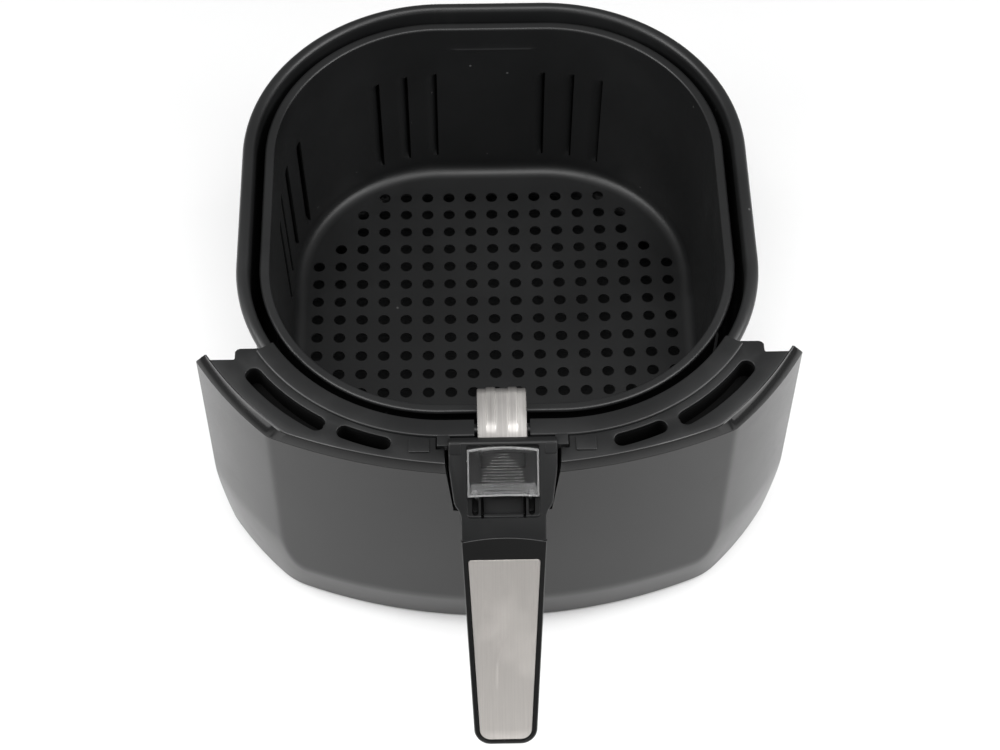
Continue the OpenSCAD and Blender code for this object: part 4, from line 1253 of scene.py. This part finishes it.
def make_cover():
    rings = []
    gs = [0.0, 0.6, 1.5] + [3 + 4.7 * i for i in range(20)]
    gs += [GRIP_L - 8 + d for d in (0, 2, 3.6, 4.9, 5.9, 6.6, 7.1, 7.35)]
    for g in gs:
        w = grip_half(g, 0.6)
        back = -FRAME_T - COVER_T
        if g > GRIP_L / 3:
            back += COVER_T / 2 * (g - GRIP_L / 3) / (GRIP_L + 2 - GRIP_L / 3)
        over = max(0.0, g - (GRIP_L - 12)) / 12
        back += 2.6 * over * over
        lip = 0.8 * max(0.0, 1 - g / 1.5)
        w, back = w - lip, back + lip
        r = min(5.5, w * 0.8)
        ring = [(w, -FRAME_T + 0.05), (w, -FRAME_T - 1.5)]
        ring += [(x, n) for x, n in arc(w - r, back + r, r, 0, -90, 8)]
        ring += [(-x, n) for x, n in reversed(ring)]
        rings.append([on_grip(x, g, n) for x, n in ring])
    verts, faces = loft(rings, caps=True)
    piece = make_piece("rear_grip_cover", verts, faces, housing_black, 40)
    holes = []
    for g in COVER_SCREWS:
        holes.append(slab("screw_hole", [circle_loop(0, -g, 3.6, 28)], -40,
                          -FRAME_T - COVER_T + 6, 0.2, housing_black,
                          lambda x, y, n: on_grip(x, -y, n)))
    cut(piece, holes, 40)
    return finish_piece(piece, "basket", "black_plastic", "handle_cover")


# ---- Strap ----

STRAP_T = 1.5
STRAP_TILT = math.radians(8)
STRAP_IN_Y = strap_high.y
STRAP_BEND = 3.0
STRAP_FOOT_Z = PAN_TOP + 0.5


def strap_under(y):
    """Height of the strap's underside, in front of its bend."""
    return STRAP_FOOT_Z + (y - NOTCH_Y) * math.tan(STRAP_TILT)


def strap_section(rib):
    """Cross-section of the strap: flat underneath, with two raised ribs."""
    half = (strap_high.x - strap_low.x) / 2
    under = [(half - 0.4, 0.0), (half, 0.4), (half, STRAP_T - 0.5), (half - 0.5, STRAP_T)]
    right = [(7.6, STRAP_T), (7.35, STRAP_T + 0.15 * rib), (7.1, STRAP_T + 0.75 * rib),
             (6.5, STRAP_T + rib), (5.1, STRAP_T + 0.95 * rib), (3.7, STRAP_T + rib),
             (3.1, STRAP_T + 0.75 * rib), (2.85, STRAP_T + 0.15 * rib), (2.6, STRAP_T),
             (1.2, STRAP_T + 0.04), (0.0, STRAP_T + 0.05)]
    top = right + [(-x, h) for x, h in reversed(right[:-1])]
    return under + top + [(-x, h) for x, h in reversed(under)]


def make_strap():
    centre = (STRAP_IN_Y - STRAP_T - STRAP_BEND, 0.0)
    under_z = strap_under(centre[0] - STRAP_BEND * math.sin(STRAP_TILT))
    centre = (centre[0], under_z - STRAP_BEND * math.cos(STRAP_TILT))
    path = []
    foot = strap_low.z
    for i in range(15):
        z = foot + 0.3 + (centre[1] - foot - 0.3) * i / 14
        rib = min(1.0, max(0.0, (z - foot - 4) / 5))
        path.append(((centre[0] + STRAP_BEND, z), (1.0, 0.0), rib))
    for i in range(1, 11):
        a = (math.pi / 2 + STRAP_TILT) * i / 10
        path.append(((centre[0] + STRAP_BEND * math.cos(a), centre[1] + STRAP_BEND * math.sin(a)),
                     (math.cos(a), math.sin(a)), 1.0))
    a = math.pi / 2 + STRAP_TILT
    tail = (path[-1][0][0] + 145.3) / math.cos(STRAP_TILT)
    for i in range(1, 17):
        d = tail * i / 16
        y = path[24][0][0] - d * math.cos(STRAP_TILT)
        z = path[24][0][1] - d * math.sin(STRAP_TILT)
        crown = 0.4 * math.sin(math.pi * min(1.0, d / 21))
        path.append(((y, z + crown), (math.cos(a), math.sin(a)),
                     1.0 if d < 16 else max(0.0, 1 - (d - 16) / 3.2)))
    rings = [[(x, p[0] + d[0] * h, p[1] + d[1] * h) for x, h in strap_section(rib * 0.65)]
             for p, d, rib in path]
    verts, faces = loft(rings, caps=True)
    piece = make_piece("ribbed_strap", verts, faces, strap_steel, 28)
    return finish_piece(piece, "basket", "satin_strap", "handle_strap")


# ---- Fasteners in place of their CAD nodes ----

def make_fasteners():
    shelf = (38.0, 88.0)
    bracket_y = FRONT_Y + 14
    for_bracket = [(x, bracket_y + 1.5, z) for x in (-55, 55)
                   for z in (shelf[0] + 12, shelf[1] - 12)]
    fasteners("bracket_screw_set", "bracket_screws", "drawer", "zinc_steel", for_bracket,
              (0, 1, 0), 3.6, 2.2, 1.5, 7)
    trim_z = TRIM_TOP - BOSS_LENGTH - 2.5
    trim_places = [(sx * x, y, trim_z) for sx in (-1, 1) for x, y in TRIM_BOSSES]
    fasteners("trim_screw_set", "trim_screws", "drawer", "zinc_steel", trim_places,
              (0, 0, -1), 3.2, 2, 1.4, 10)
    out = on_grip(0, 0, -1)
    back = Vector(out) - Vector(on_grip(0, 0, 0))
    fasteners("cover_screw_set", "cover_screws", "basket", "zinc_steel",
              [on_grip(0, g, -FRAME_T - COVER_T + 6) for g in COVER_SCREWS], tuple(back),
              3, 2, 1.5, COVER_T - 2)
    rear = NOTCH_Y - 1.2
    screw_z = strap_under(rear - 3.4) - 9
    fasteners("base_screw_set", "base_screws", "basket", "zinc_steel",
              [(x, rear - 3.4, screw_z) for x in (-8.6, 8.6)], (0, 0, -1), 2.6, 1.8, 1.5, 11.5)
    wall_y = -PAN_HD + BEAD_D - SHEET - 1.5
    fasteners("bracket_rivet_set", "bracket_rivets", "drawer", "zinc_steel",
              [(x, wall_y, 63) for x in (-16, 16)], (0, -1, 0), 3, 1.2, 1.6, 1.5, 0.0)


# ---- Materials of the CAD pieces that show as they are ----

def dress(node, material):
    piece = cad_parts[node]
    if not piece.material_slots:
        piece.data.materials.append(material)
    for slot in piece.material_slots:
        slot.material = material


make_pan()
make_basket()
make_panel()
make_edge_band()
make_trim()
make_base()
make_guard()
make_button()
make_frame()
make_plate()
make_cover()
make_strap()
make_fasteners()

for node, material in {
        "pan_bracket": zinc_steel, "latch_catch": zinc_steel, "catch_rivets": zinc_steel,
        "panel_carrier": carrier_black, "basket_legs": coated_steel, "strap_rivets": strap_steel,
        "base_cover": housing_black, "handle_core": zinc_steel, "latch_pin": zinc_steel,
        "button_spring": zinc_steel, "latch_lever": zinc_steel}.items():
    dress(node, material)


# ---- Floor, light and camera ----

def make_floor():
    material, tree, shader, place, plain = new_finish("pale_floor")
    cloud = add(tree, "ShaderNodeTexNoise", {"Vector": place, "Scale": 3.0}).outputs[0]
    tree.links.new(mix_colour(tree, cloud, grey(0.86), grey(0.9)), shader.inputs["Base Color"])
    shader.inputs["Roughness"].default_value = 0.7
    shader.inputs["Specular IOR Level"].default_value = 0.1
    size = 5000
    verts = [(-size, -size, -0.4), (size, -size, -0.4), (size, size, -0.4), (-size, size, -0.4)]
    make_piece("floor", verts, [(0, 1, 2, 3)], material)


def soft_light(name, place, aim, size, energy):
    data = bpy.data.lights.new(name, "AREA")
    data.shape = "RECTANGLE"
    data.size, data.size_y = size
    data.energy = energy
    light = bpy.data.objects.new(name, data)
    light.location = place
    light.rotation_euler = (Vector(aim) - Vector(place)).to_track_quat("-Z", "Y").to_euler()
    bpy.context.scene.collection.objects.link(light)
    return light


def make_camera():
    data = bpy.data.cameras.new("camera")
    data.lens = 80.05
    data.sensor_width = 36.0
    camera = bpy.data.objects.new("camera", data)
    bpy.context.scene.collection.objects.link(camera)
    down, yaw, roll = math.radians(55.38), math.radians(-1.7), math.radians(0.5)
    turn = Matrix.Rotation(yaw, 3, "Z") @ Matrix.Rotation(math.pi / 2 - down, 3, "X")
    turn = turn @ Matrix.Rotation(roll, 3, "Z")
    camera.rotation_euler = turn.to_euler()
    camera.location = (-0.0179, -0.6968, 1.0061)
    bpy.context.scene.camera = camera


make_floor()
make_camera()
world = bpy.data.worlds.new("studio")
world.use_nodes = True
world.node_tree.nodes["Background"].inputs[0].default_value = grey(1.0)
world.node_tree.nodes["Background"].inputs[1].default_value = 0.3
bpy.context.scene.world = world
bpy.context.scene.view_settings.view_transform = "Standard"
soft_light("overhead", (0.0, -0.45, 1.6), (0.0, -0.05, 0.0), (1.2, 0.7), 11)
soft_light("left_side", (-1.4, -0.2, 0.8), (0.0, -0.1, 0.05), (1.0, 0.9), 7.5)
soft_light("right_side", (1.4, -0.2, 0.8), (0.0, -0.1, 0.05), (1.0, 0.9), 7.5)
soft_light("left_floor", (-0.5, -0.15, 0.42), (-0.4, -0.15, 0.0), (0.3, 0.7), 2.6)
soft_light("right_floor", (0.5, -0.15, 0.42), (0.4, -0.15, 0.0), (0.3, 0.7), 2.6)
